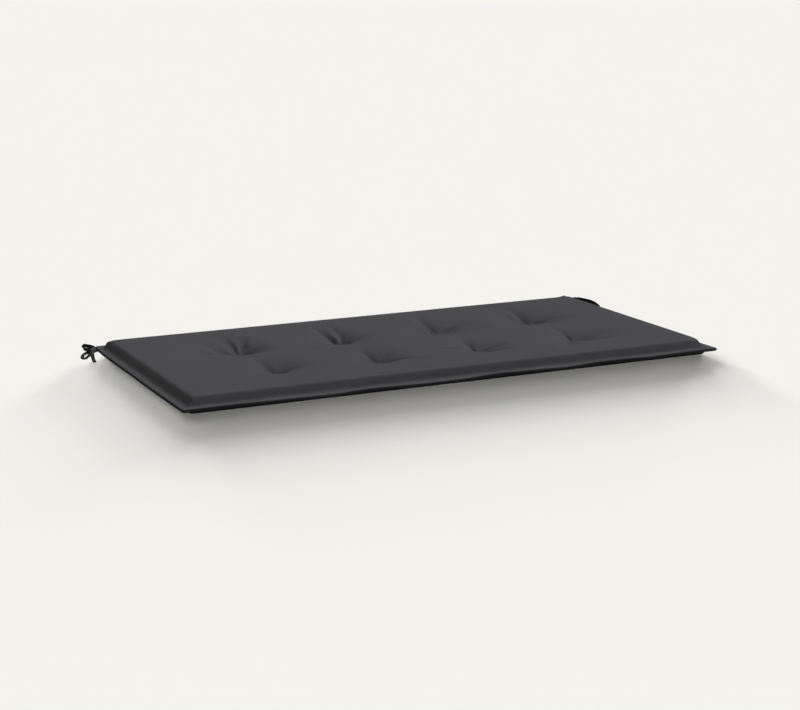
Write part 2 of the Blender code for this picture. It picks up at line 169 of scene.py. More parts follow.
@dataclass(frozen=True)
class PlainWeave:
    """The over-and-under of a plain woven cloth, read from a UV map in metres."""

    name: str = "plain_weave"
    crossing_sharpness: float = 2.0
    thread_roundness: float = 0.6
    tones_across: float = 900.0
    tones_along: float = 14.0
    thread_unevenness: float = 0.55

    def build(self) -> bpy.types.NodeTree:
        """Makes the group.

        Returns:
            A group that puts out the relief of the threads and their tone.
        """
        group = new_group(
            self.name,
            {"UV": "NodeSocketVector", "Threads per Metre": "NodeSocketFloat"},
            {"Relief": "NodeSocketFloat", "Tone": "NodeSocketFloat"},
        )
        sheet = NodeSheet(group)
        given, made = group.nodes["Group Input"].outputs, group.nodes["Group Output"].inputs
        split = sheet.add("ShaderNodeSeparateXYZ", {0: given["UV"]}).outputs
        turns = sheet.math("MULTIPLY", given["Threads per Metre"], math.pi)
        across = sheet.math("SINE", sheet.math("MULTIPLY", split["X"], turns))
        along = sheet.math("SINE", sheet.math("MULTIPLY", split["Y"], turns))
        crossed = sheet.math("MULTIPLY", across, along)
        over = sheet.math("MULTIPLY_ADD", crossed, self.crossing_sharpness, MID_TONE, clamp=True)
        warp = sheet.math("POWER", sheet.math("ABSOLUTE", across), self.thread_roundness)
        weft = sheet.math("POWER", sheet.math("ABSOLUTE", along), self.thread_roundness)
        lifted = sheet.math("MULTIPLY", warp, over)
        sunk = sheet.math("MULTIPLY", weft, sheet.math("SUBTRACT", 1.0, over))
        sheet.put(made["Relief"], sheet.math("ADD", lifted, sunk))
        warp_tone = self._thread_tone(sheet, given["UV"], (self.tones_across, self.tones_along, 1.0))
        weft_tone = self._thread_tone(sheet, given["UV"], (self.tones_along, self.tones_across, 1.0))
        tone = sheet.add("ShaderNodeMix", {"Factor": over, 2: weft_tone, 3: warp_tone}, data_type="FLOAT")
        sheet.put(made["Tone"], tone.outputs[0])
        return group

    def _thread_tone(self, sheet: NodeSheet, uv: object, stretch: Place) -> bpy.types.NodeSocket:
        """Gives each run of thread its own slightly lighter or darker tone.

        Args:
            sheet: The group being filled.
            uv: The map's socket.
            stretch: How finely the tone changes along each direction of the map.

        Returns:
            The tone's socket.
        """
        scaled = sheet.add("ShaderNodeVectorMath", {0: uv, 1: stretch}, operation="MULTIPLY")
        swing = sheet.math("SUBTRACT", sheet.noise(scaled.outputs[0], 1.0, 1.0), MID_TONE)
        return sheet.math("MULTIPLY_ADD", swing, self.thread_unevenness, MID_TONE)


@dataclass(frozen=True)
class DyeUnevenness:
    """The broad, faint clouds of lighter and darker dye in a bolt of cloth."""

    name: str = "dye_unevenness"
    broad_per_metre: float = 5.0
    fine_per_metre: float = 38.0
    fine_detail: float = 4.0
    fine_share: float = 0.35

    def build(self) -> bpy.types.NodeTree:
        """Makes the group.

        Returns:
            A group that puts out a mask around the middle tone.
        """
        group = new_group(
            self.name,
            {"Place": "NodeSocketVector", "Amount": "NodeSocketFloat"},
            {"Mask": "NodeSocketFloat"},
        )
        sheet = NodeSheet(group)
        given, made = group.nodes["Group Input"].outputs, group.nodes["Group Output"].inputs
        broad = sheet.noise(given["Place"], self.broad_per_metre)
        fine = sheet.noise(given["Place"], self.fine_per_metre, self.fine_detail)
        mixed = sheet.math("MULTIPLY_ADD", sheet.math("SUBTRACT", fine, MID_TONE), self.fine_share, broad)
        swing = sheet.math("MULTIPLY", sheet.math("SUBTRACT", mixed, MID_TONE), given["Amount"])
        sheet.put(made["Mask"], sheet.math("ADD", swing, MID_TONE))
        return group


@dataclass(frozen=True)
class ShaderGroups:
    """The effects that more than one finish uses, each built once."""

    weave: bpy.types.NodeTree
    dye: bpy.types.NodeTree

    @classmethod
    def build(cls) -> "ShaderGroups":
        """Builds both groups."""
        return cls(weave=PlainWeave().build(), dye=DyeUnevenness().build())


# ---------------------------------------------------------------- finishes


def start_material(name: str, plain: dict[str, object]) -> tuple[bpy.types.Material, NodeSheet, object]:
    """Makes a material and sets what is the same all over its surface.

    Args:
        name: The material's name.
        plain: Names and values of the shader's sockets.

    Returns:
        The material, its node sheet and its shader's inputs.
    """
    material = bpy.data.materials.new(name)
    material.use_nodes = True
    inputs = material.node_tree.nodes["Principled BSDF"].inputs
    for label, value in plain.items():
        inputs[label].default_value = value
    return material, NodeSheet(material.node_tree), inputs


@dataclass(frozen=True)
class ClothFinish:
    """Matt woven polyester: thread relief, uneven dye, a faint sheen, and painted light and shade."""

    name: str
    light: Colour
    dark: Colour
    # Painted light: the lighter colour blended in where light falls brightly on the cloth.
    painted_lit: Colour
    # Painted shade: the dark colour blended in where shadow falls on the cloth.
    painted_shade_colour: Colour = (0.0040, 0.0040, 0.0045, 1.0)
    threads_per_metre: float = 1150.0
    relief: float = 0.00012
    relief_strength: float = 0.35
    # The tone of the relief paints raised threads lighter and the hollows between them darker: painted
    # light and shade.
    tone_of_relief: float = 0.5
    tone_between_threads: float = -0.35
    dye_amount: float = 0.5
    roughness: float = 0.87
    roughness_of_relief: float = -0.08
    sheen: float = 0.03
    sheen_roughness: float = 0.5
    specular: float = 0.06

    def build(self, groups: ShaderGroups) -> bpy.types.Material:
        """Makes the material.

        Args:
            groups: The shared shader groups.

        Returns:
            The material. It reads the UV map "cloth" in metres, and marks of painted shade and light.
        """
        plain = {
            "Metallic": 0.0,
            "Sheen Weight": self.sheen,
            "Sheen Roughness": self.sheen_roughness,
            "Specular IOR Level": self.specular,
        }
        material, sheet, shader = start_material(self.name, plain)
        uv = sheet.add("ShaderNodeUVMap", uv_map="cloth").outputs[0]
        place = sheet.add("ShaderNodeTexCoord").outputs["Object"]
        threads = {"UV": uv, "Threads per Metre": self.threads_per_metre}
        weave = sheet.add("ShaderNodeGroup", threads, node_tree=groups.weave).outputs
        clouds = {"Place": place, "Amount": self.dye_amount}
        dye = sheet.add("ShaderNodeGroup", clouds, node_tree=groups.dye).outputs
        # Painted shade in the weave's hollows and painted light on its raised threads.
        sunk = sheet.math(
            "MULTIPLY_ADD", weave["Relief"], self.tone_of_relief, self.tone_between_threads
        )
        share = sheet.math("ADD", dye["Mask"], sunk)
        toned = sheet.math("ADD", share, sheet.math("SUBTRACT", weave["Tone"], MID_TONE), clamp=True)
        colour = sheet.blend(toned, self.dark, self.light)
        # Painted light, read from the marks that the pieces carry.
        painted_light = sheet.add("ShaderNodeAttribute", attribute_name="painted_light").outputs["Fac"]
        # Painted shade, read from the marks that the pieces carry.
        shade = sheet.add("ShaderNodeAttribute", attribute_name="shade").outputs["Fac"]
        painted_lit = sheet.blend(painted_light, colour, self.painted_lit)
        sheet.put(shader["Base Color"], sheet.blend(shade, painted_lit, self.painted_shade_colour))
        rough = sheet.math("MULTIPLY_ADD", weave["Relief"], self.roughness_of_relief, self.roughness)
        sheet.put(shader["Roughness"], rough)
        bumps = {"Strength": self.relief_strength, "Distance": self.relief, "Height": weave["Relief"]}
        sheet.put(shader["Normal"], sheet.add("ShaderNodeBump", bumps).outputs[0])
        return material


@dataclass(frozen=True)
class ThreadFinish:
    """Spun sewing thread, with painted light on its twist's crests and painted shade in its grooves."""

    name: str
    light: Colour
    dark: Colour
    twists_per_metre: float = 1400.0
    dye_amount: float = 1.0
    roughness: float = 0.6
    roughness_of_twist: float = -0.1
    sheen: float = 0.15
    specular: float = 0.3

    def build(self, groups: ShaderGroups) -> bpy.types.Material:
        """Makes the material.

        Args:
            groups: The shared shader groups.

        Returns:
            The material. It reads Object coordinates.
        """
        plain = {"Sheen Weight": self.sheen, "Specular IOR Level": self.specular}
        material, sheet, shader = start_material(self.name, plain)
        place = sheet.add("ShaderNodeTexCoord").outputs["Object"]
        clouds = {"Place": place, "Amount": self.dye_amount}
        dye = sheet.add("ShaderNodeGroup", clouds, node_tree=groups.dye).outputs
        waves = {"Vector": place, "Scale": self.twists_per_metre / math.tau}
        twist = sheet.add("ShaderNodeTexWave", waves, bands_direction="DIAGONAL").outputs["Fac"]
        # Painted light and shade of the twist: the colour runs from dark to light with its waves.
        toned = sheet.math("MULTIPLY", twist, dye["Mask"])
        sheet.put(shader["Base Color"], sheet.blend(toned, self.dark, self.light))
        rough = sheet.math("MULTIPLY_ADD", twist, self.roughness_of_twist, self.roughness)
        sheet.put(shader["Roughness"], rough)
        return material


@dataclass(frozen=True)
class FloorFinish:
    """The plain pale surface that the cushion lies on."""

    name: str = "pale_floor"
    colour: Colour = (0.80, 0.793, 0.762, 1.0)
    roughness: float = 0.9

    def build(self) -> bpy.types.Material:
        """Makes the plain matt material."""
        plain = {"Base Color": self.colour, "Roughness": self.roughness, "Specular IOR Level": 0.0}
        return start_material(self.name, plain)[0]


@dataclass(frozen=True)
class Finishes:
    """Every material of the object."""

    pad: bpy.types.Material
    tape: bpy.types.Material
    thread: bpy.types.Material

    @classmethod
    def build(cls) -> "Finishes":
        """Builds the cloths and the thread on shared groups."""
        groups = ShaderGroups.build()
        pad = ClothFinish(
            name="dark_grey_cloth",
            light=(0.0800, 0.0799, 0.0851, 1.0),
            dark=(0.0592, 0.0591, 0.0636, 1.0),
            # Painted light for the border's top.
            painted_lit=(0.1000, 0.1000, 0.1060, 1.0),
        )
        tape = ClothFinish(
            name="dark_grey_tape",
            light=(0.086, 0.086, 0.091, 1.0),
            dark=(0.055, 0.055, 0.059, 1.0),
            # Painted light for the tape's lit bands.
            painted_lit=(0.102, 0.102, 0.108, 1.0),
        )
        thread = ThreadFinish(
            name="dark_grey_thread",
            light=(0.075, 0.075, 0.080, 1.0),
            dark=(0.018, 0.018, 0.020, 1.0),
        )
        return cls(pad.build(groups), tape.build(groups), thread.build(groups))


# ---------------------------------------------------------------- small geometry


def ease(share: Grid) -> Grid:
    """Smooth step from 0 to 1.

    Args:
        share: Any numbers.

    Returns:
        The eased numbers, held between 0 and 1.
    """
    share = np.clip(share, 0.0, 1.0)
    return share * share * (3.0 - 2.0 * share)


def smooth_curve(xs: Sequence[float], ys: Sequence[float], at: Grid) -> Grid:
    """Reads a smooth curve through points without overshooting them.

    Args:
        xs: Rising places.
        ys: Values at the places.
        at: Where to read the curve.

    Returns:
        The values there, held flat past both ends.
    """
    x, y = np.asarray(xs, float), np.asarray(ys, float)
    step = np.diff(x)
    slope = np.diff(y) / step
    tangent = np.zeros_like(y)
    same = slope[1:] * slope[:-1] > 0
    total = np.where(same, slope[1:] + slope[:-1], 1.0)
    tangent[1:-1] = np.where(same, 2.0 * slope[1:] * slope[:-1] / total, 0.0)
    tangent[0], tangent[-1] = slope[0], slope[-1]
    held = np.clip(at, x[0], x[-1])
    left = np.clip(np.searchsorted(x, held, side="right") - 1, 0, len(step) - 1)
    width = step[left]
    t = (held - x[left]) / width
    return (
        y[left] * (1 + 2 * t) * (1 - t) ** 2
        + y[left + 1] * t * t * (3 - 2 * t)
        + width * tangent[left] * t * (1 - t) ** 2
        + width * tangent[left + 1] * t * t * (t - 1)
    )


def smooth_route(points: Sequence[Place], step: float) -> list[Vector]:
    """Fills a route with points on a smooth curve through its own points.

    Args:
        points: The route's own points.
        step: About how far apart the new points are.

    Returns:
        The filled route.
    """
    route = [Vector(point) for point in points]
    ends = [2 * route[0] - route[1]] + route + [2 * route[-1] - route[-2]]
    smooth = []
    for before, start, end, after in zip(ends, ends[1:], ends[2:], ends[3:]):
        count = max(1, round((end - start).length / step))
        for index in range(count):
            t = index / count
            squared = (2 * before - 5 * start + 4 * end - after) * t**2
            cubed = (3 * start - before - 3 * end + after) * t**3
            smooth.append(0.5 * (2 * start + (end - before) * t + squared + cubed))
    smooth.append(route[-1])
    return smooth


def finished_mesh(bm: bmesh.types.BMesh, name: str) -> bpy.types.Mesh:
    """Writes out a mesh that has been built up, and frees its builder.

    Args:
        bm: The mesh being built.
        name: The new mesh's name.

    Returns:
        The mesh.
    """
    mesh = bpy.data.meshes.new(name)
    bm.to_mesh(mesh)
    bm.free()
    return mesh


def new_object(name: str, mesh: bpy.types.Mesh, material: bpy.types.Material) -> bpy.types.Object:
    """Puts a mesh in the scene as a smooth shaded object at the origin.

    Args:
        name: The piece's name.
        mesh: Its mesh, with every point in place.
        material: Its only material.

    Returns:
        The object.
    """
    mesh.shade_smooth()
    mesh.materials.clear()
    mesh.materials.append(material)
    item = bpy.data.objects.new(name, mesh)
    bpy.context.scene.collection.objects.link(item)
    return item


def mark(mesh: bpy.types.Mesh, name: str, value: float | Grid) -> None:
    """Gives a mesh's points an attribute that the cloth reads.

    Args:
        mesh: The mesh.
        name: The attribute, one for painted shade and one for painted light, both from 0 to 1.
        value: One value for all the points, or one for each.
    """
    layer = mesh.attributes.new(name, "FLOAT", "POINT")
    layer.data.foreach_set("value", np.zeros(len(mesh.vertices)) + value)


def enter(piece: bpy.types.Object, slot: Slot) -> None:
    """Fixes a finished piece to the object's one body and logs it with its material slot.

    Args:
        piece: The finished piece.
        slot: The record's slot, which is only logged.
    """
    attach(piece, BODY)
    log.info("%s: %d faces, slot %s", piece.name, len(piece.data.polygons), slot.value)


# ---------------------------------------------------------------- the cushion's shape


def rows_of(kind: type, *rows: tuple) -> tuple:
    """Makes one record of a kind from each row of its values."""
    return tuple(kind(*row) for row in rows)


@dataclass(frozen=True)
class Section:
    """One row of a panel's cross-section: how far in from the edge, and how high."""

    inset: float
    height: float


@dataclass(frozen=True)
class Ripple:
    """One crest or trough of the border's outer edge."""

    place: float
    rise: float


@dataclass(frozen=True)
class CornerSag:
    """How much lower the filling lies in one corner, which the signs of its place name.

    pull is how far the filling draws back from that corner.
    """

    side_x: int
    side_y: int
    depth: float
    pull: float = 0.0


@dataclass(frozen=True)
class Pucker:
    """One small swelling of the filled panel."""

    x: float
    y: float
    rise: float
    radius: float


@dataclass(frozen=True)
class Crease:
    """One fold that runs out from a tuft. A negative depth is a ridge.

    heading and bend are in degrees, the bend over the crease's whole length.
    start and length are distances from the tuft.
    """

    heading: float
    length: float
    half_width: float
    depth: float
    bend: float
    start: float


@dataclass(frozen=True)
class Tuft:
    """One tuft: the place of its stitch, its hollow, and the folds that run out from it.

    The hollow is depth deep and fades out at reach, quicker the higher its point is, with a bottom
    that blunt rounds. The leans make it wider towards +X and towards +Y, and stretch makes it longer
    along the bench than across it, all as shares of reach.
    """

    x: float
    y: float
    depth: float
    reach: float
    point: float
    blunt: float
    lean_x: float
    lean_y: float
    stretch: float
    creases: tuple[Crease, ...]

    def hollow(self, dx: Grid, dy: Grid) -> Grid:
        """How far the stitch alone draws the top down.

        Args:
            dx: Places from the tuft along the bench.
            dy: Places from the tuft across it.

        Returns:
            The depth at each place.
        """
        reach = np.maximum(np.hypot(dx, dy), STITCH_REACH)
        out_x, out_y = dx / reach, dy / reach
        lean = self.lean_x * out_x + self.lean_y * out_y
        widest = self.reach * (1.0 + lean + self.stretch * (out_x**2 - out_y**2))
        rounded = np.hypot(reach, self.blunt) - self.blunt
        return self.depth * np.clip(1.0 - rounded / widest, 0.0, 1.0) ** self.point


# A crease's row gives its heading, length, half width, depth, bend and start.
TUFTS = (
    Tuft(
        x=-0.2872, y=0.0747, depth=0.0210, reach=0.1177, point=2.17,
        blunt=0.0037, lean_x=-0.510, lean_y=0.016, stretch=0.031,
        creases=rows_of(
            Crease,
            (78.2, 0.0921, 0.0079, -0.0065, 11, -0.0010), (-27.0, 0.0673, 0.0136, 0.0064, -11, -0.0010),
            (81.6, 0.1350, 0.0180, 0.0059, 33, -0.0010), (152.1, 0.0820, 0.0104, 0.0050, -49, -0.0010),
            (169.0, 0.1348, 0.0128, 0.0041, 29, 0.0315), (-53.9, 0.0951, 0.0180, 0.0041, -7, 0.0156),
            (38.8, 0.1030, 0.0158, -0.0033, 50, 0.0209),
        ),
    ),
    Tuft(
        x=-0.0988, y=0.0720, depth=0.0237, reach=0.1723, point=6.47,
        blunt=0.0043, lean_x=-0.053, lean_y=-0.273, stretch=-0.173,
        creases=rows_of(
            Crease,
            (104.9, 0.1246, 0.0118, 0.0075, -18, -0.0010), (53.3, 0.0856, 0.0128, 0.0053, 50, 0.0075),
            (211.4, 0.1158, 0.0180, 0.0040, -2, 0.0350), (68.3, 0.0400, 0.0054, -0.0031, 20, 0.0006),
            (231.9, 0.0510, 0.0027, 0.0027, -46, 0.0147), (70.7, 0.1350, 0.0085, 0.0025, 25, 0.0350),
            (-35.0, 0.0757, 0.0180, 0.0023, -26, 0.0059), (-27.0, 0.1200, 0.0143, 0.0016, 25, 0.0051),
        ),
    ),
    Tuft(
        x=0.0960, y=0.0681, depth=0.0201, reach=0.2260, point=4.93,
        blunt=0.0038, lean_x=0.164, lean_y=-0.210, stretch=0.094,
        creases=rows_of(
            Crease,
            (90.5, 0.1334, 0.0141, 0.0075, -11, 0.0016), (26.1, 0.0552, 0.0058, 0.0069, -31, 0.0067),
            (109.7, 0.0524, 0.0043, -0.0065, -50, 0.0028), (153.8, 0.0400, 0.0160, -0.0034, -42, 0.0080),
            (45.8, 0.1171, 0.0121, -0.0029, -10, 0.0026), (-8.5, 0.0748, 0.0044, 0.0023, -49, 0.0128),
            (10.5, 0.0910, 0.0042, 0.0023, -6, 0.0247), (189.0, 0.0400, 0.0084, 0.0014, 23, 0.0143),
        ),
    ),
    Tuft(
        x=0.2920, y=0.0800, depth=0.0214, reach=0.1172, point=2.07,
        blunt=-0.0028, lean_x=0.006, lean_y=-0.321, stretch=-0.081,
        creases=rows_of(
            Crease,
            (-27.6, 0.0804, 0.0092, 0.0060, -34, 0.0134), (142.6, 0.0400, 0.0029, -0.0054, -12, 0.0032),
            (79.9, 0.1350, 0.0151, 0.0046, 26, -0.0010), (223.9, 0.0400, 0.0050, -0.0043, 29, 0.0258),
            (138.7, 0.0851, 0.0084, 0.0040, -50, -0.0010), (36.0, 0.0696, 0.0159, -0.0037, -14, 0.0011),
            (-19.8, 0.1350, 0.0095, 0.0032, 0, 0.0001), (131.6, 0.0908, 0.0060, -0.0015, -35, 0.0210),
        ),
    ),
    Tuft(
        x=-0.2848, y=-0.0985, depth=0.0230, reach=0.1059, point=3.62,
        blunt=0.0014, lean_x=-0.029, lean_y=0.035, stretch=-0.122,
        creases=rows_of(
            Crease,
            (120.1, 0.0400, 0.0035, -0.0065, -2, 0.0094), (171.1, 0.0400, 0.0078, 0.0054, 50, -0.0010),
            (110.7, 0.0940, 0.0121, 0.0053, -31, 0.0007), (1.5, 0.1007, 0.0133, 0.0034, -33, -0.0010),
            (-17.6, 0.0700, 0.0034, 0.0033, 9, -0.0010), (208.5, 0.0920, 0.0057, -0.0018, -2, -0.0005),
        ),
    ),
    Tuft(
        x=-0.0959, y=-0.0996, depth=0.0224, reach=0.0907, point=2.36,
        blunt=0.0024, lean_x=-0.263, lean_y=0.059, stretch=-0.031,
        creases=rows_of(
            Crease,
            (101.9, 0.0851, 0.0101, 0.0049, -13, 0.0048), (-42.3, 0.1350, 0.0103, 0.0043, -5, 0.0002),
            (130.2, 0.0400, 0.0024, -0.0041, -49, -0.0010), (189.7, 0.0741, 0.0049, 0.0041, -26, -0.0010),
            (206.5, 0.0422, 0.0040, 0.0036, -30, 0.0135), (200.3, 0.1107, 0.0126, 0.0031, 27, 0.0004),
            (-24.2, 0.0456, 0.0078, 0.0009, 0, -0.0010),
        ),
    ),
    Tuft(
        x=0.0942, y=-0.1031, depth=0.0183, reach=0.1003, point=3.12,
        blunt=0.0026, lean_x=0.162, lean_y=-0.058, stretch=-0.143,
        creases=rows_of(
            Crease,
            (102.5, 0.0769, 0.0106, 0.0064, -32, 0.0058), (2.5, 0.0791, 0.0062, 0.0048, -23, 0.0033),
            (186.7, 0.0539, 0.0157, 0.0043, -37, 0.0058), (193.9, 0.0998, 0.0050, 0.0040, -50, 0.0238),
            (204.8, 0.0993, 0.0179, 0.0039, 9, 0.0250), (-42.5, 0.1052, 0.0131, 0.0036, -3, 0.0001),
            (104.2, 0.0490, 0.0046, -0.0029, -11, 0.0185),
        ),
    ),
    Tuft(
        x=0.2970, y=-0.0914, depth=0.0231, reach=0.1430, point=4.26,
        blunt=-0.0002, lean_x=0.284, lean_y=-0.228, stretch=0.025,
        creases=rows_of(
            Crease,
            (230.1, 0.1350, 0.0178, 0.0075, -3, 0.0350), (99.8, 0.0424, 0.0045, 0.0075, 29, 0.0003),
            (-15.4, 0.1350, 0.0143, 0.0055, 46, 0.0027), (205.9, 0.1283, 0.0180, 0.0049, 5, 0.0082),
            (90.8, 0.0674, 0.0127, 0.0048, 30, 0.0104), (-47.3, 0.0865, 0.0120, 0.0038, 4, 0.0176),
            (46.3, 0.0700, 0.0068, -0.0010, -11, -0.0010), (163.1, 0.0999, 0.0180, 0.0006, 27, -0.0010),
        ),
    ),
)


@dataclass(frozen=True)
class CushionShape:
    """The cushion's surfaces as heights over its flat plan.

    A crease starts at crease_root of its width and widens from there. It deepens over crease_rise of
    its length and dies away over crease_fade of it, and a higher crease_power squares its sides.
    """

    length: float
    depth: float
    height: float
    border_width: float = 0.013
    border_top: float = 0.0125
    corner_radius: float = 0.003
    mitre_softness: float = 0.005
    least_top: float = 0.0085
    least_top_band: float = 0.0035
    under_tuft_depth: float = 0.005
    under_tuft_radius: float = 0.045
    sag_reach: float = 0.050
    crease_root: float = 0.35
    crease_widening: float = 1.6
    crease_rise: float = 0.18
    crease_fade: float = 0.72
    crease_power: float = 1.6
    cloth_samples: int = 400
    top: tuple[Section, ...] = rows_of(
        Section,
        (0.0000, 0.01080), (0.0003, 0.01180), (0.0008, 0.01235), (0.0020, 0.01250),
        (0.0080, 0.01260), (0.0105, 0.01290), (0.0125, 0.01360), (0.0145, 0.01550),
        (0.0165, 0.01840), (0.0185, 0.02140), (0.0205, 0.02420), (0.0222, 0.02600),
        (0.0240, 0.02700), (0.0265, 0.02750), (0.0300, 0.02780), (0.0360, 0.02820),
        (0.0600, 0.02920), (0.1100, 0.03000),
    )
    under: tuple[Section, ...] = rows_of(
        Section,
        (0.0000, 0.00920), (0.0003, 0.00820), (0.0008, 0.00765), (0.0020, 0.00750),
        (0.0120, 0.00740), (0.0134, 0.00700), (0.0146, 0.00590), (0.0156, 0.00400),
        (0.0166, 0.00170), (0.0180, 0.00040), (0.0240, 0.00000),
    )
    front: tuple[Ripple, ...] = rows_of(
        Ripple,
        (-0.500, 0.0000), (-0.465, 0.0008), (-0.415, 0.0007), (-0.365, -0.0001),
        (-0.314, -0.0007), (-0.275, -0.0016), (-0.236, -0.0014), (-0.210, -0.0002),
        (-0.183, 0.0007), (-0.145, 0.0001), (-0.102, -0.0010), (-0.065, -0.0016),
        (-0.019, -0.0013), (0.009, -0.0006), (0.040, 0.0011), (0.066, 0.0016), (0.095, 0.0006),
        (0.154, -0.0004), (0.183, -0.0016), (0.213, -0.0007), (0.250, 0.0013), (0.280, 0.0016),
        (0.320, 0.0008), (0.366, -0.0004), (0.398, 0.0000), (0.440, 0.0011), (0.500, 0.0009),
    )
    back: tuple[Ripple, ...] = rows_of(
        Ripple,
        (-0.500, 0.0013), (-0.410, 0.0010), (-0.290, -0.0014), (-0.170, 0.0012),
        (-0.030, -0.0012), (0.110, 0.0015), (0.240, -0.0013), (0.380, 0.0009), (0.500, -0.0006),
    )
    left: tuple[Ripple, ...] = rows_of(
        Ripple,
        (-0.250, 0.0000), (-0.220, -0.0010), (-0.150, -0.0014), (-0.060, -0.0018),
        (0.020, -0.0013), (0.120, -0.0017), (0.200, -0.0012), (0.250, 0.0013),
    )
    right: tuple[Ripple, ...] = rows_of(
        Ripple,
        (-0.250, 0.0009), (-0.200, 0.0002), (-0.120, -0.0010), (-0.020, 0.0008), (0.080, -0.0007),
        (0.170, 0.0009), (0.250, -0.0006),
    )
    corner_sags: tuple[CornerSag, ...] = rows_of(
        CornerSag, (-1, 1, 0.0024), (1, -1, 0.0036, 0.0115), (-1, -1, 0.0004), (1, 1, 0.0010)
    )
    puckers: tuple[Pucker, ...] = rows_of(
        Pucker, (-0.4815, 0.2315, 0.0036, 0.0072), (0.4626, 0.2240, 0.0030, 0.0080)
    )

    def insets(self, x: Grid, y: Grid) -> tuple[Grid, Grid]:
        """Distances in from the nearer end and from the nearer long side."""
        return self.length / 2 - np.abs(x), self.depth / 2 - np.abs(y)

    def edge_inset(self, x: Grid, y: Grid) -> Grid:
        """Distance in from the border's edge, with softened mitres.

        Args:
            x: Places along the bench.
            y: Places across it.

        Returns:
            The distances, at least 0.
        """
        end, side = self.insets(x, y)
        overlap = np.maximum(self.mitre_softness - np.abs(end - side), 0.0) / self.mitre_softness
        return np.maximum(np.minimum(end, side) - overlap**2 * self.mitre_softness / 4, 0.0)

    def border_rise(self, x: Grid, y: Grid) -> Grid:
        """The border's ripple, full at its edge and nothing at its seam.

        Args:
            x: Places along the bench.
            y: Places across it.

        Returns:
            The rise at each place.
        """
        end, side = self.insets(x, y)
        along = np.where(y < 0, self._ripple(self.front, x), self._ripple(self.back, x))
        along_end = np.where(x < 0, self._ripple(self.left, y), self._ripple(self.right, y))
        to_end = ease(0.5 + (side - end) / (2 * self.mitre_softness))
        rise = along + (along_end - along) * to_end
        return rise * np.maximum(1.0 - np.minimum(end, side) / self.border_width, 0.0)

    def _ripple(self, ripples: Sequence[Ripple], place: Grid) -> Grid:
        """Reads one side's ripple at places along it."""
        return smooth_curve([r.place for r in ripples], [r.rise for r in ripples], place)

    def corner_sag(self, x: Grid, y: Grid) -> tuple[Grid, Grid]:
        """How much lower the filling lies near the four corners, and how far it draws back.

        Args:
            x: Places along the bench.
            y: Places across it.

        Returns:
            The sag and the pull at each place.
        """
        end, side = self.insets(x, y)
        near = ease(1.0 - end / self.sag_reach) * ease(1.0 - side / self.sag_reach)
        inside = ease(end / self.border_width) * ease(side / self.border_width)
        depth, pull = np.zeros_like(near), np.zeros_like(near)
        for corner in self.corner_sags:
            here = (np.sign(x) == corner.side_x) & (np.sign(y) == corner.side_y)
            depth = np.where(here, corner.depth, depth)
            pull = np.where(here, corner.pull, pull)
        return depth * near, pull * near * inside

    def crease_depth(self, crease: Crease, dx: Grid, dy: Grid) -> Grid:
        """How far one fold sinks the cloth.

        Args:
            crease: The fold.
            dx: Places from the tuft along the bench.
            dy: Places from the tuft across it.

        Returns:
            The depth, negative on a ridge.
        """
        angle = math.radians(crease.heading)
        along = dx * math.cos(angle) + dy * math.sin(angle)
        across = -dx * math.sin(angle) + dy * math.cos(angle)
        share = (along - crease.start) / (crease.length - crease.start)
        curve = math.radians(crease.bend) * np.clip(share, 0.0, 1.0) * along / 2
        widened = self.crease_root + (1.0 - self.crease_root) * ease(share * self.crease_widening)
        fade = ease(share / self.crease_rise) * ease((1.0 - share) / self.crease_fade)
        off = np.abs((across - curve) / (crease.half_width * widened))
        return crease.depth * fade * np.exp(-(off**self.crease_power))

    def top_height(self, x: Grid, y: Grid) -> Grid:
        """The top panel's height.

        Args:
            x: Places along the bench.
            y: Places across it.

        Returns:
            The height at each place.
        """
        sag, pull = self.corner_sag(x, y)
        panel = self._section(self.top, self.edge_inset(x, y) - pull)
        full = np.clip((panel - self.border_top) / (self.height - self.border_top), 0.0, 1.0)
        panel = panel - full * sag + self.border_rise(x, y)
        for pucker in self.puckers:
            near = np.hypot(x - pucker.x, y - pucker.y) / pucker.radius
            panel = panel + pucker.rise * ease(1.0 - near)
        drawn = panel
        for tuft in TUFTS:
            dx, dy = x - tuft.x, y - tuft.y
            drawn = drawn - tuft.hollow(dx, dy)
            for crease in tuft.creases:
                drawn = drawn - self.crease_depth(crease, dx, dy)
        over = np.minimum((drawn - self.least_top) / self.least_top_band, 1.0)
        pressed = self.least_top + self.least_top_band * np.exp(over - 1.0)
        inner = self.edge_inset(x, y) > 2 * self.border_width
        return np.where(inner & (over < 1.0), pressed, drawn)

    def under_height(self, x: Grid, y: Grid) -> Grid:
        """The underside's height.

        Args:
            x: Places along the bench.
            y: Places across it.

        Returns:
            The height at each place.
        """
        panel = self._section(self.under, self.edge_inset(x, y)) + self.border_rise(x, y)
        for tuft in TUFTS:
            reach = np.hypot(x - tuft.x, y - tuft.y) / self.under_tuft_radius
            panel = panel + self.under_tuft_depth * np.clip(1.0 - reach, 0.0, 1.0) ** 2
        return panel

    def _section(self, rows: Sequence[Section], inset: Grid) -> Grid:
        """Reads a panel's cross-section."""
        return smooth_curve([row.inset for row in rows], [row.height for row in rows], inset)

    def round_corner(self, x: Grid, y: Grid) -> tuple[Grid, Grid]:
        """Draws the plan's corners in to their radius.

        Args:
            x: Places along the bench.
            y: Places across it.

        Returns:
            The moved places.
        """
        end, side = self.insets(x, y)
        out_x = np.maximum(self.corner_radius - end, 0.0)
        out_y = np.maximum(self.corner_radius - side, 0.0)
        both = (out_x > 0) & (out_y > 0)
        reach = np.where(both, np.hypot(out_x, out_y), 1.0)
        drawn_in = 1.0 - np.where(both, np.maximum(out_x, out_y) / reach, 1.0)
        return x - np.sign(x) * out_x * drawn_in, y - np.sign(y) * out_y * drawn_in

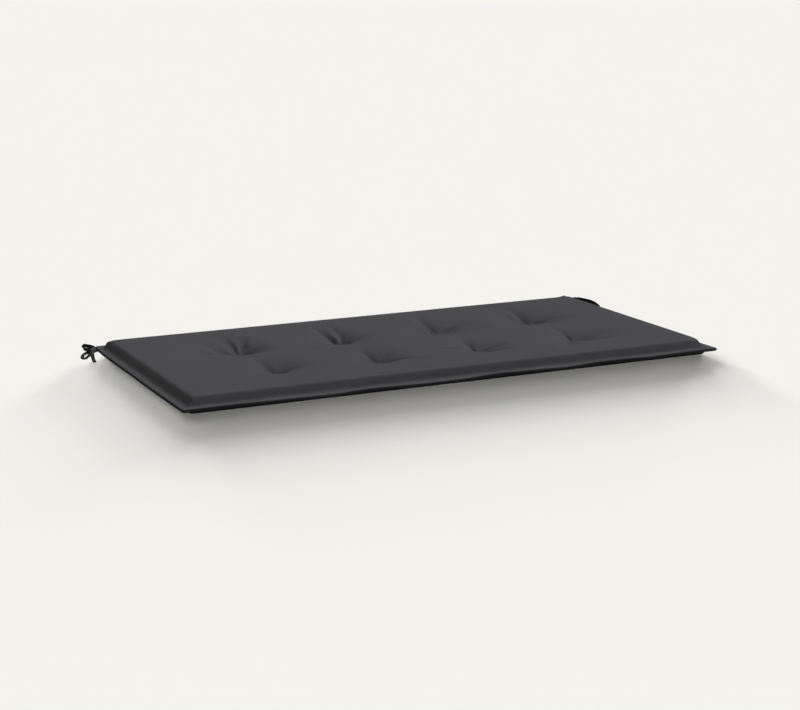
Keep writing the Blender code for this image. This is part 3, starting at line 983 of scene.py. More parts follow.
    def cloth_length(self, rows: Sequence[Section], inset: Grid) -> Grid:
        """How much cloth lies between the border's edge and a place.

        Args:
            rows: The panel's cross-section.
            inset: Distances in from the edge, in plan.

        Returns:
            The lengths along the cloth.
        """
        steps = np.linspace(0.0, rows[-1].inset, self.cloth_samples)
        heights = self._section(rows, steps)
        lengths = np.concatenate([[0.0], np.cumsum(np.hypot(np.diff(steps), np.diff(heights)))])
        beyond = np.maximum(inset - steps[-1], 0.0)
        return np.interp(inset, steps, lengths) + beyond


# ---------------------------------------------------------------- the cushion


@dataclass
class Panels:
    """Both panels as one mesh, with each point's flat place and whether it is on the top."""

    mesh: bpy.types.Mesh
    plan: Grid
    on_top: Grid


@dataclass
class Cushion:
    """The filled body: both panels, the border and the tufts.

    least_last_step is the least that the last broad step of the mesh may be cut down to, as a share.
    """

    shape: CushionShape
    material: bpy.types.Material
    fill: float = 0.7
    # Painted shade: how much darker the underside, the rim and the walls are painted, where shadow falls.
    under_shade: float = 0.62
    end_edge_shade: float = 0.97
    long_edge_shade: float = 0.66
    edge_reach: float = 0.0009
    left_wall_shade: float = 0.06
    long_wall_shade: float = 0.21
    wall_reach: float = 0.026
    wall_fade: float = 0.006
    seam_fade: float = 0.002
    # Painted light on the border's top, which the light reaches more than the walls.
    border_painted_light: float = 0.62
    name: str = "cushion_cover"
    edge_steps: tuple[float, ...] = (
        0.0, 0.0003, 0.0007, 0.0013, 0.0022, 0.0036, 0.0058, 0.0080, 0.0096, 0.0108, 0.0119, 0.0130,
        0.0142, 0.0154, 0.0168, 0.0182, 0.0196, 0.0209, 0.0221, 0.0232, 0.0244, 0.0260, 0.0282,
        0.0315, 0.0360,
    )
    fine_step: float = 0.0022
    fine_reach: float = 0.026
    middle_step: float = 0.0036
    middle_reach: float = 0.060
    broad_step: float = 0.0065
    least_last_step: float = 0.2

    def build(self) -> bpy.types.Object:
        """Makes the piece.

        Returns:
            The finished piece, fixed to the body.
        """
        lines_x = self._lines(self.shape.length / 2, [tuft.x for tuft in TUFTS])
        lines_y = self._lines(self.shape.depth / 2, [tuft.y for tuft in TUFTS])
        panels = self._panels(lines_x, lines_y)
        self._shape(panels)
        self._map_cloth(panels)
        self._shade(panels)
        piece = new_object(self.name, panels.mesh, self.material)
        enter(piece, Slot.CLOTH)
        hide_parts("cushion")
        return piece

    def _lines(self, half: float, places: Sequence[float]) -> Grid:
        """Works out where the mesh has its lines, close together at the edges and the tufts.

        Args:
            half: Half the plan's size.
            places: The tufts' places.

        Returns:
            The lines from one side to the other.
        """
        inner = half - self.edge_steps[-1]
        lines = [-inner]
        while lines[-1] < inner - self.least_last_step * self.broad_step:
            nearest = min(abs(lines[-1] - place) for place in places)
            step = self.broad_step
            if nearest < self.middle_reach:
                step = self.middle_step
            if nearest < self.fine_reach:
                step = self.fine_step
            lines.append(lines[-1] + step)
        inside = np.array(lines)
        inside = -inner + (inside + inner) * (2 * inner) / (inside[-1] + inner)
        edge = np.array(self.edge_steps[:-1])
        return np.concatenate([-half + edge, inside, half - edge[::-1]])

    def _panels(self, lines_x: Grid, lines_y: Grid) -> Panels:
        """Makes both panels as flat grids, one under the other, joined along the border's edge.

        Args:
            lines_x: Lines along the bench.
            lines_y: Lines across it.

        Returns:
            The panels, not yet shaped.
        """
        bm = bmesh.new()
        count_x, count_y = len(lines_x) - 1, len(lines_y) - 1
        for face in Face:
            made = bmesh.ops.create_grid(bm, x_segments=count_x, y_segments=count_y, size=1.0)
            for vert in made["verts"]:
                vert.co.z = -face.value
        rims = [edge for edge in bm.edges if edge.is_boundary]
        bmesh.ops.bridge_loops(bm, edges=rims)
        bmesh.ops.recalc_face_normals(bm, faces=bm.faces)
        mesh = finished_mesh(bm, self.name)
        raw = np.empty(len(mesh.vertices) * 3)
        mesh.vertices.foreach_get("co", raw)
        raw = raw.reshape(-1, 3)
        column = np.rint((raw[:, 0] + 1) / 2 * count_x).astype(int)
        row = np.rint((raw[:, 1] + 1) / 2 * count_y).astype(int)
        plan = np.stack([lines_x[column], lines_y[row]], axis=1)
        return Panels(mesh, plan, raw[:, 2] >= -Face.UNDER.value / 2)

    def _shape(self, panels: Panels) -> None:
        """Lifts every point of both panels to its place."""
        x, y = panels.plan[:, 0], panels.plan[:, 1]
        height = np.where(panels.on_top, self.shape.top_height(x, y), self.shape.under_height(x, y))
        places = np.stack([*self.shape.round_corner(x, y), height], axis=1)
        panels.mesh.vertices.foreach_set("co", places.ravel())
        panels.mesh.update()

    def _map_cloth(self, panels: Panels) -> None:
        """Lays a UV map in metres along the cloth, so that the weave keeps its scale on the walls.

        Args:
            panels: The shaped panels.
        """
        maps = []
        for rows in (self.shape.top, self.shape.under):
            lengths = []
            for axis, half in ((0, self.shape.length / 2), (1, self.shape.depth / 2)):
                inset = half - np.abs(panels.plan[:, axis])
                whole = self.shape.cloth_length(rows, np.array([half]))[0]
                used = self.shape.cloth_length(rows, inset)
                lengths.append(np.sign(panels.plan[:, axis]) * (whole - used))
            maps.append(np.stack(lengths, axis=1))
        per_point = np.where(panels.on_top[:, None], maps[0], maps[1])
        corners = np.empty(len(panels.mesh.loops), dtype=np.int32)
        panels.mesh.loops.foreach_get("vertex_index", corners)
        layer = panels.mesh.uv_layers.new(name="cloth")
        layer.data.foreach_set("uv", per_point[corners].ravel())

    def _shade(self, panels: Panels) -> None:
        """Marks painted shade on the underside, rim and walls, and painted light on the border's top.

        Args:
            panels: The shaped panels.
        """
        x, y = panels.plan[:, 0], panels.plan[:, 1]
        inset = self.shape.edge_inset(x, y)
        end, side = self.shape.insets(x, y)
        seam = self.shape.border_width
        wall = ease((inset - seam) / self.seam_fade) * ease((self.wall_reach - inset) / self.wall_fade)
        end_wall = np.where(x < 0, self.left_wall_shade, 0.0)
        shade = np.where(end < side, end_wall, self.long_wall_shade) * wall
        shade = np.where(panels.on_top, shade, self.under_shade)
        rim = np.where(end < side, self.end_edge_shade, self.long_edge_shade)
        mark(panels.mesh, "shade", np.where(inset < self.edge_reach, rim, shade))
        # Painted light on the border's top, fading out at its rim and its seam.
        border = ease((inset - self.edge_reach) / self.edge_reach) * ease((seam - inset) / self.seam_fade)
        mark(panels.mesh, "painted_light", np.where(panels.on_top, self.border_painted_light * border, 0.0))


# ---------------------------------------------------------------- stitching


@dataclass(frozen=True)
class StitchTree:
    """A Geometry Nodes tree that sews a line of stitches along a curve."""

    name: str = "stitch_line"
    segments: int = 6
    rings: int = 5

    def build(self) -> bpy.types.NodeTree:
        """Makes the tree.

        Returns:
            The tree, with named inputs for the stitch's sizes and its thread.
        """
        tree = bpy.data.node_groups.new(self.name, "GeometryNodeTree")
        sockets = {
            "Geometry": "NodeSocketGeometry",
            "Stitch Pitch": "NodeSocketFloat",
            "Stitch Length": "NodeSocketFloat",
            "Thread Thickness": "NodeSocketFloat",
            "Thread": "NodeSocketMaterial",
        }
        for label, kind in sockets.items():
            tree.interface.new_socket(name=label, in_out="INPUT", socket_type=kind)
        tree.interface.new_socket(name="Geometry", in_out="OUTPUT", socket_type=sockets["Geometry"])
        sheet = NodeSheet(tree)
        given = sheet.add("NodeGroupInput").outputs
        line = {"Curve": given["Geometry"], "Length": given["Stitch Pitch"]}
        points = sheet.add("GeometryNodeCurveToPoints", line, mode="LENGTH").outputs
        ball = {"Segments": self.segments, "Rings": self.rings, "Radius": 0.5}
        thick = given["Thread Thickness"]
        size = {"X": thick, "Y": thick, "Z": given["Stitch Length"]}
        stitch = {
            "Points": points["Points"],
            "Instance": sheet.add("GeometryNodeMeshUVSphere", ball).outputs["Mesh"],
            "Rotation": points["Rotation"],
            "Scale": sheet.add("ShaderNodeCombineXYZ", size).outputs[0],
        }
        sewn = sheet.add("GeometryNodeInstanceOnPoints", stitch).outputs["Instances"]
        for kind in ("RealizeInstances", "SetShadeSmooth", "SetMaterial"):
            last = sheet.add("GeometryNode" + kind, {"Geometry": sewn})
            sewn = last.outputs["Geometry"]
        sheet.put(last.inputs["Material"], given["Thread"])
        sheet.add("NodeGroupOutput", {"Geometry": sewn})
        return tree


@dataclass
class Stitching:
    """Rows of stitches sewn into the cushion."""

    shape: CushionShape
    material: bpy.types.Material
    edge_inset: float = 0.0032
    seam_inset: float = 0.0098
    pitch: float = 0.0042
    length: float = 0.0032
    thickness: float = 0.0007
    sink: float = 0.00012
    path_step: float = 0.002

    def build(self) -> list[bpy.types.Object]:
        """Sews the border's edge row and seam row on both faces.

        Returns:
            The finished pieces.
        """
        tree = StitchTree().build()
        rows = {"edge_stitches": self.edge_inset, "seam_stitches": self.seam_inset}
        return [
            self._sew(tree, f"{label}_{face.name.lower()}", inset, face)
            for face in Face
            for label, inset in rows.items()
        ]

    def _sew(self, tree: bpy.types.NodeTree, name: str, inset: float, face: Face) -> bpy.types.Object:
        """Sews one closed row round the border.

        Args:
            tree: The stitch tree.
            name: The piece's name.
            inset: How far in from the edge the row runs.
            face: The panel that it shows on.

        Returns:
            The finished piece.
        """
        path = self._path(inset, face)
        curve = bpy.data.curves.new(name + "_path", "CURVE")
        curve.dimensions = "3D"
        spline = curve.splines.new("POLY")
        spline.points.add(len(path) - 1)
        flat = np.concatenate([path, np.ones((len(path), 1))], axis=1)
        spline.points.foreach_set("co", flat.ravel())
        spline.use_cyclic_u = True
        guide = bpy.data.objects.new(name + "_path", curve)
        bpy.context.scene.collection.objects.link(guide)
        sewing = guide.modifiers.new("stitches", "NODES")
        sewing.node_group = tree
        values = {
            "Stitch Pitch": self.pitch,
            "Stitch Length": self.length,
            "Thread Thickness": self.thickness,
            "Thread": self.material,
        }
        for socket in tree.interface.items_tree:
            if socket.in_out == "INPUT" and socket.name in values:
                sewing[socket.identifier] = values[socket.name]
        mesh = evaluated_mesh(guide, name)
        bpy.data.objects.remove(guide, do_unlink=True)
        piece = new_object(name, mesh, self.material)
        enter(piece, Slot.CLOTH)
        return piece

    def _path(self, inset: float, face: Face) -> Grid:
        """Walks once round the border.

        Args:
            inset: How far in from the edge.
            face: The panel to stay on.

        Returns:
            The points of the path.
        """
        half_x = self.shape.length / 2 - inset
        half_y = self.shape.depth / 2 - inset
        along_x = np.arange(-half_x, half_x, self.path_step)
        along_y = np.arange(-half_y, half_y, self.path_step)
        end_x, side_y = np.full_like(along_y, half_x), np.full_like(along_x, half_y)
        x = np.concatenate([along_x, end_x, -along_x, -end_x])
        y = np.concatenate([-side_y, along_y, side_y, -along_y])
        height = self.shape.top_height(x, y) if face is Face.TOP else self.shape.under_height(x, y)
        outward = 1.0 if face is Face.TOP else -1.0
        round_x, round_y = self.shape.round_corner(x, y)
        lift = outward * (self.thickness / 2 - self.sink)
        return np.stack([round_x, round_y, height + lift], axis=1)


def evaluated_mesh(item: bpy.types.Object, name: str) -> bpy.types.Mesh:
    """Turns what an object evaluates to into a plain mesh.

    Args:
        item: The object with its modifiers.
        name: The new mesh's name.

    Returns:
        The mesh.
    """
    bpy.context.view_layer.update()
    depsgraph = bpy.context.evaluated_depsgraph_get()
    mesh = bpy.data.meshes.new_from_object(item.evaluated_get(depsgraph))
    mesh.name = name
    return mesh


@dataclass
class TuftThreads:
    """The crossed stitches that hold each tuft down."""

    shape: CushionShape
    material: bpy.types.Material
    span: float = 0.0052
    thickness: float = 0.0011
    lift: float = 0.0004
    headings: tuple[int, int] = (20, 112)
    turn_per_tuft: int = 17
    segments: int = 10
    rings: int = 8
    name: str = "tuft_threads"

    def build(self) -> bpy.types.Object:
        """Makes all the tufts' threads as one piece.

        Returns:
            The finished piece.
        """
        bm = bmesh.new()
        for index, tuft in enumerate(TUFTS):
            top = float(self.shape.top_height(np.array([tuft.x]), np.array([tuft.y]))[0])
            for heading in self.headings:
                turn = math.radians(heading + self.turn_per_tuft * index)
                self._stitch(bm, Vector((tuft.x, tuft.y, top + self.lift)), turn)
        piece = new_object(self.name, finished_mesh(bm, self.name), self.material)
        enter(piece, Slot.CLOTH)
        return piece

    def _stitch(self, bm: bmesh.types.BMesh, centre: Vector, turn: float) -> None:
        """Adds one short stitch that dips at both ends.

        Args:
            bm: The mesh being built.
            centre: Its middle.
            turn: Its heading.
        """
        spin = Matrix.Rotation(turn, 4, "Z")
        scale = Matrix.Diagonal((self.span / 2, self.thickness / 2, self.thickness / 2, 1.0))
        place = Matrix.Translation(centre) @ spin @ scale
        bmesh.ops.create_uvsphere(
            bm, u_segments=self.segments, v_segments=self.rings, radius=1.0, matrix=place
        )


# ---------------------------------------------------------------- the ties


class Lie(Enum):
    """Which way the width of the tape points: on edge, or flat along one direction."""

    EDGE = (0.0, 0.0, 1.0)
    ALONG_X = (1.0, 0.0, 0.0)
    ALONG_Y = (0.0, 1.0, 0.0)


@dataclass(frozen=True)
class Bend:
    """One place that a strand's middle line runs through, how the tape lies there, and its painted shade.
    """

    x: float
    y: float
    z: float
    lie: Lie = Lie.EDGE
    shade: float = 0.75

    @property
    def place(self) -> Vector:
        """Where the middle line runs."""
        return Vector((self.x, self.y, self.z))


@dataclass(frozen=True)
class Strand:
    """One strand of tape, from the corner through the knot to its free end."""

    bends: tuple[Bend, ...]

    @classmethod
    def through(cls, *rows: tuple) -> "Strand":
        """Makes a strand from the rows of its bends."""
        return cls(rows_of(Bend, *rows))

    def path(self, step: float) -> list[Vector]:
        """Works out the middle line, with points about a step apart."""
        return smooth_route([bend.place for bend in self.bends], step)

    def along(self, path: Sequence[Vector], values: Sequence[float]) -> Grid:
        """Spreads one value for each bend evenly along the middle line.

        Args:
            path: The middle line.
            values: The bends' values.

        Returns:
            One value for each of its points.
        """
        count = len(path)
        nearest = [min(range(count), key=lambda at: (path[at] - bend.place).length) for bend in self.bends]
        return np.interp(np.arange(count), nearest, values)

    def widths(self, path: Sequence[Vector]) -> list[Vector]:
        """Works out which way the width points at each point of the middle line."""
        parts = [self.along(path, [bend.lie.value[axis] for bend in self.bends]) for axis in range(3)]
        return [Vector(part) for part in zip(*parts)]


@dataclass(frozen=True)
class Bow:
    """The two strands and the knot of one corner's bow. slant, in degrees, leans the knot over."""

    knot: Place
    exit: Place
    slant: float
    strands: tuple[Strand, ...]


# A bend's row gives x, y and z, and then how the tape lies and its painted shade where they aren't
# the usual.
BOWS = {
    Side.LEFT: Bow(
        knot=(-0.5068, 0.2412, 0.0072),
        exit=(-0.5003, 0.2450, 0.0090),
        slant=-20.0,
        strands=(
            Strand.through(
                (-0.5003, 0.2456, 0.0094), (-0.5020, 0.2484, 0.0118), (-0.5043, 0.2520, 0.0124),
                (-0.5080, 0.2575, 0.0130), (-0.5120, 0.2620, 0.0132), (-0.5146, 0.2660, 0.0130),
                (-0.5160, 0.2680, 0.0104), (-0.5162, 0.2640, 0.0076), (-0.5138, 0.2560, 0.0077),
                (-0.5108, 0.2500, 0.0086), (-0.5078, 0.2446, 0.0090),
                (-0.5052, 0.2396, 0.0105, Lie.ALONG_X, 0.3), (-0.5054, 0.2362, 0.0144, Lie.ALONG_X, 0.1),
                (-0.5067, 0.2340, 0.0123, Lie.ALONG_X, 0.0), (-0.5081, 0.2334, 0.0093, Lie.ALONG_X, 0.0),
                (-0.5098, 0.2312, 0.0068, Lie.ALONG_X, 0.2), (-0.5110, 0.2262, 0.0056, Lie.ALONG_X, 0.5),
                (-0.5124, 0.2205, 0.0048, Lie.ALONG_X), (-0.5141, 0.2135, 0.0036, Lie.ALONG_X),
                (-0.5156, 0.2055, 0.0027, Lie.ALONG_X), (-0.5178, 0.1945, 0.0022, Lie.ALONG_X),
                (-0.5208, 0.1765, 0.0020, Lie.ALONG_X),
            ),
            Strand.through(
                (-0.5003, 0.2440, 0.0094, Lie.EDGE, 0.4), (-0.5035, 0.2430, 0.0090, Lie.EDGE, 0.4),
                (-0.5062, 0.2424, 0.0074), (-0.5096, 0.2430, 0.0050),
                (-0.5138, 0.2445, 0.0042, Lie.ALONG_X), (-0.5204, 0.2408, 0.0036, Lie.ALONG_X),
                (-0.5264, 0.2313, 0.0034, Lie.ALONG_X), (-0.5313, 0.2187, 0.0034, Lie.ALONG_X),
                (-0.5336, 0.2057, 0.0034, Lie.ALONG_X), (-0.5306, 0.2032, 0.0034, Lie.ALONG_X),
                (-0.5211, 0.2181, 0.0034, Lie.ALONG_X), (-0.5152, 0.2265, 0.0040, Lie.ALONG_X),
                (-0.5108, 0.2340, 0.0052), (-0.5070, 0.2410, 0.0062), (-0.5040, 0.2480, 0.0052),
                (-0.5010, 0.2552, 0.0038), (-0.4940, 0.2622, 0.0022, Lie.ALONG_Y),
                (-0.4840, 0.2660, 0.0018, Lie.ALONG_Y), (-0.4730, 0.2668, 0.0018, Lie.ALONG_Y),
                (-0.4620, 0.2640, 0.0018, Lie.ALONG_Y),
            ),
        ),
    ),
    Side.RIGHT: Bow(
        knot=(0.5072, 0.2450, 0.0098),
        exit=(0.5003, 0.2450, 0.0100),
        slant=20.0,
        strands=(
            Strand.through(
                (0.5003, 0.2454, 0.0108), (0.5030, 0.2456, 0.0124), (0.5060, 0.2466, 0.0142),
                (0.5095, 0.2462, 0.0152), (0.5135, 0.2410, 0.0152), (0.5176, 0.2310, 0.0147),
                (0.5214, 0.2190, 0.0143), (0.5240, 0.2070, 0.0128), (0.5256, 0.1965, 0.0100),
                (0.5262, 0.1895, 0.0072), (0.5250, 0.1862, 0.0052), (0.5222, 0.1905, 0.0062),
                (0.5198, 0.2000, 0.0078), (0.5172, 0.2130, 0.0096), (0.5140, 0.2280, 0.0104),
                (0.5104, 0.2390, 0.0098), (0.5076, 0.2440, 0.0086),
                (0.5054, 0.2420, 0.0116, Lie.ALONG_X, 0.3), (0.5058, 0.2372, 0.0118, Lie.ALONG_X, 0.3),
                (0.5070, 0.2310, 0.0094, Lie.ALONG_X), (0.5080, 0.2220, 0.0058, Lie.ALONG_X),
                (0.5084, 0.2100, 0.0028, Lie.ALONG_X), (0.5090, 0.1940, 0.0020, Lie.ALONG_X),
                (0.5122, 0.1765, 0.0020, Lie.ALONG_X),
            ),
            Strand.through(
                (0.5003, 0.2438, 0.0092, Lie.EDGE, 0.4), (0.5040, 0.2440, 0.0088, Lie.EDGE, 0.4),
                (0.5074, 0.2466, 0.0094), (0.5100, 0.2520, 0.0128), (0.5125, 0.2592, 0.0130),
                (0.5140, 0.2690, 0.0106), (0.5134, 0.2778, 0.0072), (0.5096, 0.2818, 0.0046),
                (0.5052, 0.2780, 0.0037), (0.5030, 0.2680, 0.0036), (0.5038, 0.2580, 0.0042),
                (0.5052, 0.2505, 0.0058), (0.5040, 0.2478, 0.0066), (0.4985, 0.2556, 0.0046),
                (0.4885, 0.2640, 0.0022, Lie.ALONG_Y), (0.4770, 0.2660, 0.0018, Lie.ALONG_Y),
                (0.4640, 0.2625, 0.0018, Lie.ALONG_Y),
            ),
        ),
    ),
}


@dataclass(frozen=True)
class TapeSection:
    """The tape's cross-section: rounded edges, and faces with a slight hollow along the middle.

    girth is how much cloth goes round it.
    """

    width: float
    thickness: float
    girth: float
    hollow: float = 0.0
    points: int = 12
    edge_power: float = 0.7
    face_power: float = 0.8
    hollow_power: int = 3

    def ring(
        self, bm: bmesh.types.BMesh, centre: Vector, across: Vector, outward: Vector
    ) -> list[bmesh.types.BMVert]:
        """Adds the section's points to a mesh.

        Args:
            bm: The mesh being built.
            centre: The section's middle.
            across: The direction of the tape's width.
            outward: The direction of its thickness.

        Returns:
            The points in order.
        """
        ring = []
        for corner in range(self.points):
            angle = math.tau * corner / self.points
            wide = math.copysign(abs(math.cos(angle)) ** self.edge_power, math.cos(angle))
            thick = math.copysign(abs(math.sin(angle)) ** self.face_power, math.sin(angle))
            full = 1.0 - self.hollow * abs(math.sin(angle)) ** self.hollow_power
            place = centre + across * (wide * self.width / 2)
            ring.append(bm.verts.new(place + outward * (thick * full * self.thickness / 2)))
        return ring

    def skin(self, bm: bmesh.types.BMesh, rings: Sequence[list], places: Sequence[float]) -> None:
        """Joins the rings one after another, and maps the cloth along the tape.

        Args:
            bm: The mesh being built, which has the UV map "cloth".
            rings: The rings of points in order.
            places: How far along the tape each ring lies.
        """
        uv = bm.loops.layers.uv["cloth"]
        strip = self.girth / self.points
        for here, ahead, start, end in zip(rings, rings[1:], places, places[1:]):
            for corner in range(self.points):
                after = (corner + 1) % self.points
                face = bm.faces.new((here[corner], here[after], ahead[after], ahead[corner]))
                low, high = corner * strip, (corner + 1) * strip
                for loop, place in zip(face.loops, ((low, start), (high, start), (high, end), (low, end))):
                    loop[uv].uv = place


@dataclass
class CornerBow:
    """One corner's tie: two strands of tape, the turn that binds them and the knot.

    At each point the tape turns by turn_share towards the way that it should lie, unless less than
    least_lean of that way is across its run. It has painted light where its painted shade is under
    painted_light_below.
    """

    side: Side
    bow: Bow
    material: bpy.types.Material
    width: float = 0.0066
    thickness: float = 0.0024
    hollow: float = 0.22
    step: float = 0.0014
    least_lean: float = 0.2
    turn_share: float = 0.4
    wrap_radius: float = 0.0044
    wrap_width: float = 0.0050
    wrap_thickness: float = 0.0020
    wrap_rings: int = 28
    # Painted shade: how dark the binding turn and the knot's middle are painted.
    wrap_shade: float = 0.0
    core: Place = (0.0054, 0.0042, 0.0048)
    core_shift: float = 0.0016
    core_folds: int = 5
    core_fold_depth: float = 0.07
    core_segments: int = 24
    core_rings: int = 16
    core_shade: float = 0.5
    painted_light_below: float = 0.3

    def build(self) -> list[bpy.types.Object]:
        """Makes the strands, the binding turn and the knot's middle.

        Returns:
            The finished, declared pieces.
        """
        label = self.side.name.lower()
        knotted = [self._binding(f"tie_{label}_binding"), self._core(f"tie_{label}_knot")]
        pieces = list(knotted)
        for index, strand in enumerate(self.bow.strands):
            path = strand.path(self.step)
            shades = strand.along(path, [bend.shade for bend in strand.bends])
            piece = self._tape(f"tie_{label}_strand_{index + 1}", path, strand.widths(path), shades)
            pieces.append(piece)
            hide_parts(f"tie_back_{label}")
        for piece in pieces:
            enter(piece, Slot.TIE)
        return pieces

    def _section(self, width: float, thickness: float, hollow: float = 0.0) -> TapeSection:
        """Folds the tape to a width and a thickness, with the same cloth round it."""
        return TapeSection(width, thickness, 2.0 * (self.width + self.thickness), hollow)

    def _tape(
        self, name: str, path: Sequence[Vector], widths: Sequence[Vector], shades: Grid
    ) -> bpy.types.Object:
        """Sweeps the tape's section along a path.

        Args:
            name: The piece's name.
            path: The tape's middle line.
            widths: Which way its width points at each of them.
            shades: How much painted shade it has at each of them.

        Returns:
            The piece, closed at both ends.
        """
        section = self._section(self.width, self.thickness, self.hollow)
        bm = bmesh.new()
        bm.loops.layers.uv.new("cloth")
        rings, places = [], []
        across, travelled = widths[0], 0.0
        for index, point in enumerate(path):
            ahead = path[min(index + 1, len(path) - 1)]
            behind = path[max(index - 1, 0)]
            along = (ahead - behind).normalized()
            across = (across - along * across.dot(along)).normalized()
            wanted = widths[index] - along * widths[index].dot(along)
            if wanted.length > self.least_lean:
                wanted = wanted.normalized() * math.copysign(1.0, wanted.dot(across))
                across = across.lerp(wanted, self.turn_share).normalized()
            travelled += (point - behind).length
            rings.append(section.ring(bm, point, across, across.cross(along)))
            places.append(travelled)
        section.skin(bm, rings, places)
        bm.faces.new(rings[0][::-1])
        bm.faces.new(rings[-1])
        bmesh.ops.recalc_face_normals(bm, faces=bm.faces)
        mesh = finished_mesh(bm, name)
        # Painted shade along the tape.
        mark(mesh, "shade", np.repeat(shades, section.points))
        # Painted light where the tape is least shaded.
        lit = np.clip(1.0 - shades / self.painted_light_below, 0.0, 1.0)
        mark(mesh, "painted_light", np.repeat(lit, section.points))
        return new_object(name, mesh, self.material)

    def _binding(self, name: str) -> bpy.types.Object:
        """Turns the tape once round the knot's waist.

        Args:
            name: The piece's name.

        Returns:
            The piece.
        """
        section = self._section(self.wrap_width, self.wrap_thickness)
        bm = bmesh.new()
        bm.loops.layers.uv.new("cloth")
        tilt = Matrix.Rotation(math.radians(self.bow.slant), 3, "Y")
        across = tilt @ Vector((1.0, 0.0, 0.0))
        rings = []
        for index in range(self.wrap_rings):
            angle = math.tau * index / self.wrap_rings
            out = tilt @ Vector((0.0, math.cos(angle), math.sin(angle)))
            rings.append(section.ring(bm, Vector(self.bow.knot) + out * self.wrap_radius, across, out))
        step = math.tau * self.wrap_radius / self.wrap_rings
        section.skin(bm, [*rings, rings[0]], [index * step for index in range(self.wrap_rings + 1)])
        bmesh.ops.recalc_face_normals(bm, faces=bm.faces)
        mesh = finished_mesh(bm, name)
        mark(mesh, "shade", self.wrap_shade)
        return new_object(name, mesh, self.material)

    def _core(self, name: str) -> bpy.types.Object:
        """Makes the folded tape in the middle of the knot.

        Args:
            name: The piece's name.

        Returns:
            The piece.
        """
        bm = bmesh.new()
        centre = Vector(self.bow.knot) + Vector((self.side.value * self.core_shift, 0.0, 0.0))
        wide, deep, high = self.core
        made = bmesh.ops.create_uvsphere(
            bm, u_segments=self.core_segments, v_segments=self.core_rings, radius=1.0
        )
        for vert in made["verts"]:
            x, y, z = vert.co
            fold = 1.0 + self.core_fold_depth * math.cos(self.core_folds * math.atan2(z, x))
            vert.co = centre + Vector((x * wide * fold, y * deep, z * high * fold))
        mesh = finished_mesh(bm, name)
        mark(mesh, "shade", self.core_shade)
        return new_object(name, mesh, self.material)


# ---------------------------------------------------------------- the studio


class Lit(Enum):
    """What a lamp shines on."""

    OBJECT = "lit_object"
    FLOOR = "lit_floor"


@dataclass(frozen=True)
class Lamp:
    """One distant soft lamp.

    Its heading, elevation and softness are in degrees. irradiance is what it gives a level surface,
    in watts per square metre.
    """

    name: str
    heading: float
    elevation: float
    softness: float
    irradiance: float
    lit: Lit
    shadows: bool = True

    def build(self, receivers: bpy.types.Collection, casters: bpy.types.Collection) -> None:
        """Hangs the lamp.

        Args:
            receivers: The only things that it lights.
            casters: The only things that cast a shadow in its light.
        """
        light = bpy.data.lights.new(self.name, "SUN")
        light.energy = self.irradiance / math.sin(math.radians(self.elevation))
        light.angle = math.radians(self.softness)
        lamp = bpy.data.objects.new(self.name, light)
        turn, lift = math.radians(self.heading), math.radians(self.elevation)
        towards = Vector((math.cos(turn) * math.cos(lift), math.sin(turn) * math.cos(lift), math.sin(lift)))
        lamp.rotation_euler = towards.to_track_quat("Z", "Y").to_euler()
        lamp.light_linking.receiver_collection = receivers
        lamp.light_linking.blocker_collection = casters
        bpy.context.scene.collection.objects.link(lamp)


LAMPS = (
    Lamp("key_from_right", 0.0, 48.0, 40.0, 1.24, Lit.OBJECT),
    Lamp("half_key_from_front_right", 315.0, 48.0, 40.0, 0.78, Lit.OBJECT),
    Lamp("half_key_from_back", 90.0, 48.0, 40.0, 0.55, Lit.OBJECT),
    Lamp("low_from_back", 66.0, 7.0, 8.0, 1.00, Lit.FLOOR),
    Lamp("lowest_from_back", 80.0, 4.0, 6.0, 0.55, Lit.FLOOR),
    Lamp("lowest_from_back_right", 50.0, 4.0, 6.0, 0.52, Lit.FLOOR),
    Lamp("half_low_from_back", 86.0, 13.0, 14.0, 0.36, Lit.FLOOR),
    Lamp("higher_from_back_left", 110.0, 22.0, 26.0, 0.37, Lit.FLOOR),
    Lamp("floor_fill", 0.0, 88.0, 30.0, 0.56, Lit.FLOOR, shadows=False),
)


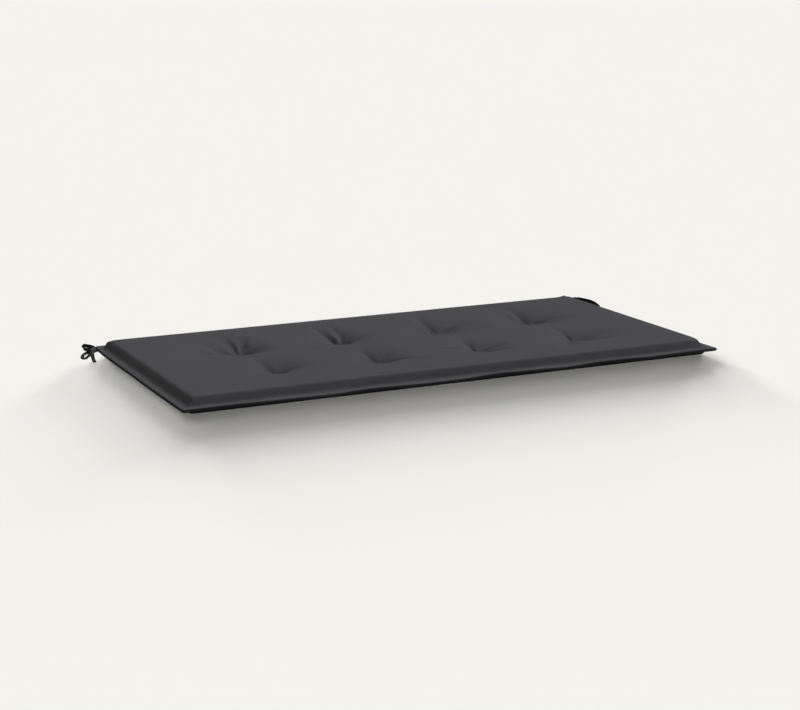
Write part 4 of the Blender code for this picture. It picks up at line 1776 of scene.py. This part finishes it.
@dataclass
class Studio:
    """The pale floor, the soft light and the camera. The camera's angles are in radians."""

    floor_half: float = 60.0
    floor_squares: int = 4
    floor_drop: float = 0.0004
    dim_sky: Colour = (0.055, 0.055, 0.054, 1.0)
    backdrop: Colour = (0.880, 0.880, 0.860, 1.0)
    camera_place: Place = (-1.2967, -2.6964, 0.6847)
    camera_yaw: float = 0.4452
    camera_pitch: float = 0.2253
    camera_roll: float = -0.0015
    focal_px: float = 1709.479
    sensor_mm: float = 36.0
    nearest: float = 0.01
    farthest: float = 200.0
    floor: Optional[bpy.types.Object] = None

    def build(self) -> None:
        """Makes the floor, the sky and the camera."""
        self.floor = self._floor()
        world = bpy.data.worlds.new("studio")
        world.use_nodes = True
        sheet = NodeSheet(world.node_tree)
        seen = sheet.add("ShaderNodeLightPath").outputs["Is Camera Ray"]
        sky = world.node_tree.nodes["Background"].inputs["Color"]
        sheet.put(sky, sheet.blend(seen, self.dim_sky, self.backdrop))
        bpy.context.scene.world = world
        self._camera()
        view = bpy.context.scene.view_settings
        view.view_transform = "Standard"
        view.look = "None"

    def light(self, pieces: Sequence[bpy.types.Object], filled: bpy.types.Object) -> None:
        """Hangs the lamps over the object and over the floor.

        Args:
            pieces: Every piece of the object.
            filled: The filled body, which alone is thick enough to shade the floor.
        """
        lit = {which: bpy.data.collections.new(which.value) for which in Lit}
        lit[Lit.FLOOR].objects.link(self.floor)
        for piece in pieces:
            lit[Lit.OBJECT].objects.link(piece)
        body = bpy.data.collections.new("filled_body")
        body.objects.link(filled)
        casters = {Lit.OBJECT: lit[Lit.OBJECT], Lit.FLOOR: body}
        for lamp in LAMPS:
            lamp.build(lit[lamp.lit], casters[lamp.lit] if lamp.shadows else lit[Lit.FLOOR])

    def _floor(self) -> bpy.types.Object:
        """Lays the floor just under the cushion."""
        bm = bmesh.new()
        squares = self.floor_squares
        bmesh.ops.create_grid(bm, x_segments=squares, y_segments=squares, size=self.floor_half)
        bmesh.ops.translate(bm, vec=(0.0, 0.0, -self.floor_drop), verts=bm.verts)
        floor = new_object("floor", finished_mesh(bm, "floor"), FloorFinish().build())
        return floor

    def _camera(self) -> None:
        """Sets the camera where the fitted corners place it."""
        yaw, pitch, roll = self.camera_yaw, self.camera_pitch, self.camera_roll
        ahead = Vector((math.sin(yaw) * math.cos(pitch), math.cos(yaw) * math.cos(pitch), -math.sin(pitch)))
        right = Vector((math.cos(yaw), -math.sin(yaw), 0.0))
        up = right.cross(ahead)
        turned_right = right * math.cos(roll) + up * math.sin(roll)
        turned_up = up * math.cos(roll) - right * math.sin(roll)
        lens = bpy.data.cameras.new("camera")
        lens.sensor_width = self.sensor_mm
        lens.lens = self.focal_px * self.sensor_mm / IMAGE_WIDTH_PX
        lens.clip_start = self.nearest
        lens.clip_end = self.farthest
        camera = bpy.data.objects.new("camera", lens)
        basis = Matrix((turned_right, turned_up, -ahead)).transposed().to_4x4()
        camera.matrix_world = Matrix.Translation(self.camera_place) @ basis
        bpy.context.scene.collection.objects.link(camera)
        bpy.context.scene.camera = camera


# ---------------------------------------------------------------- the whole object


def main() -> None:
    """Builds every sub-assembly in order and reports each piece."""
    logging.basicConfig(level=logging.INFO, format="%(name)s: %(message)s")
    low, high = (Vector(corner) for corner in CUSHION_BOX)
    shape = CushionShape(length=high.x - low.x, depth=high.y - low.y, height=high.z - low.z)
    studio = Studio()
    studio.build()
    finishes = Finishes.build()
    pieces = []
    for side, bow in BOWS.items():
        pieces += CornerBow(side, bow, finishes.tape).build()
    cover = Cushion(shape, finishes.pad).build()
    pieces += [cover, *Stitching(shape, finishes.thread).build()]
    pieces.append(TuftThreads(shape, finishes.thread).build())
    studio.light(pieces, cover)


if __name__ == "__main__":
    main()
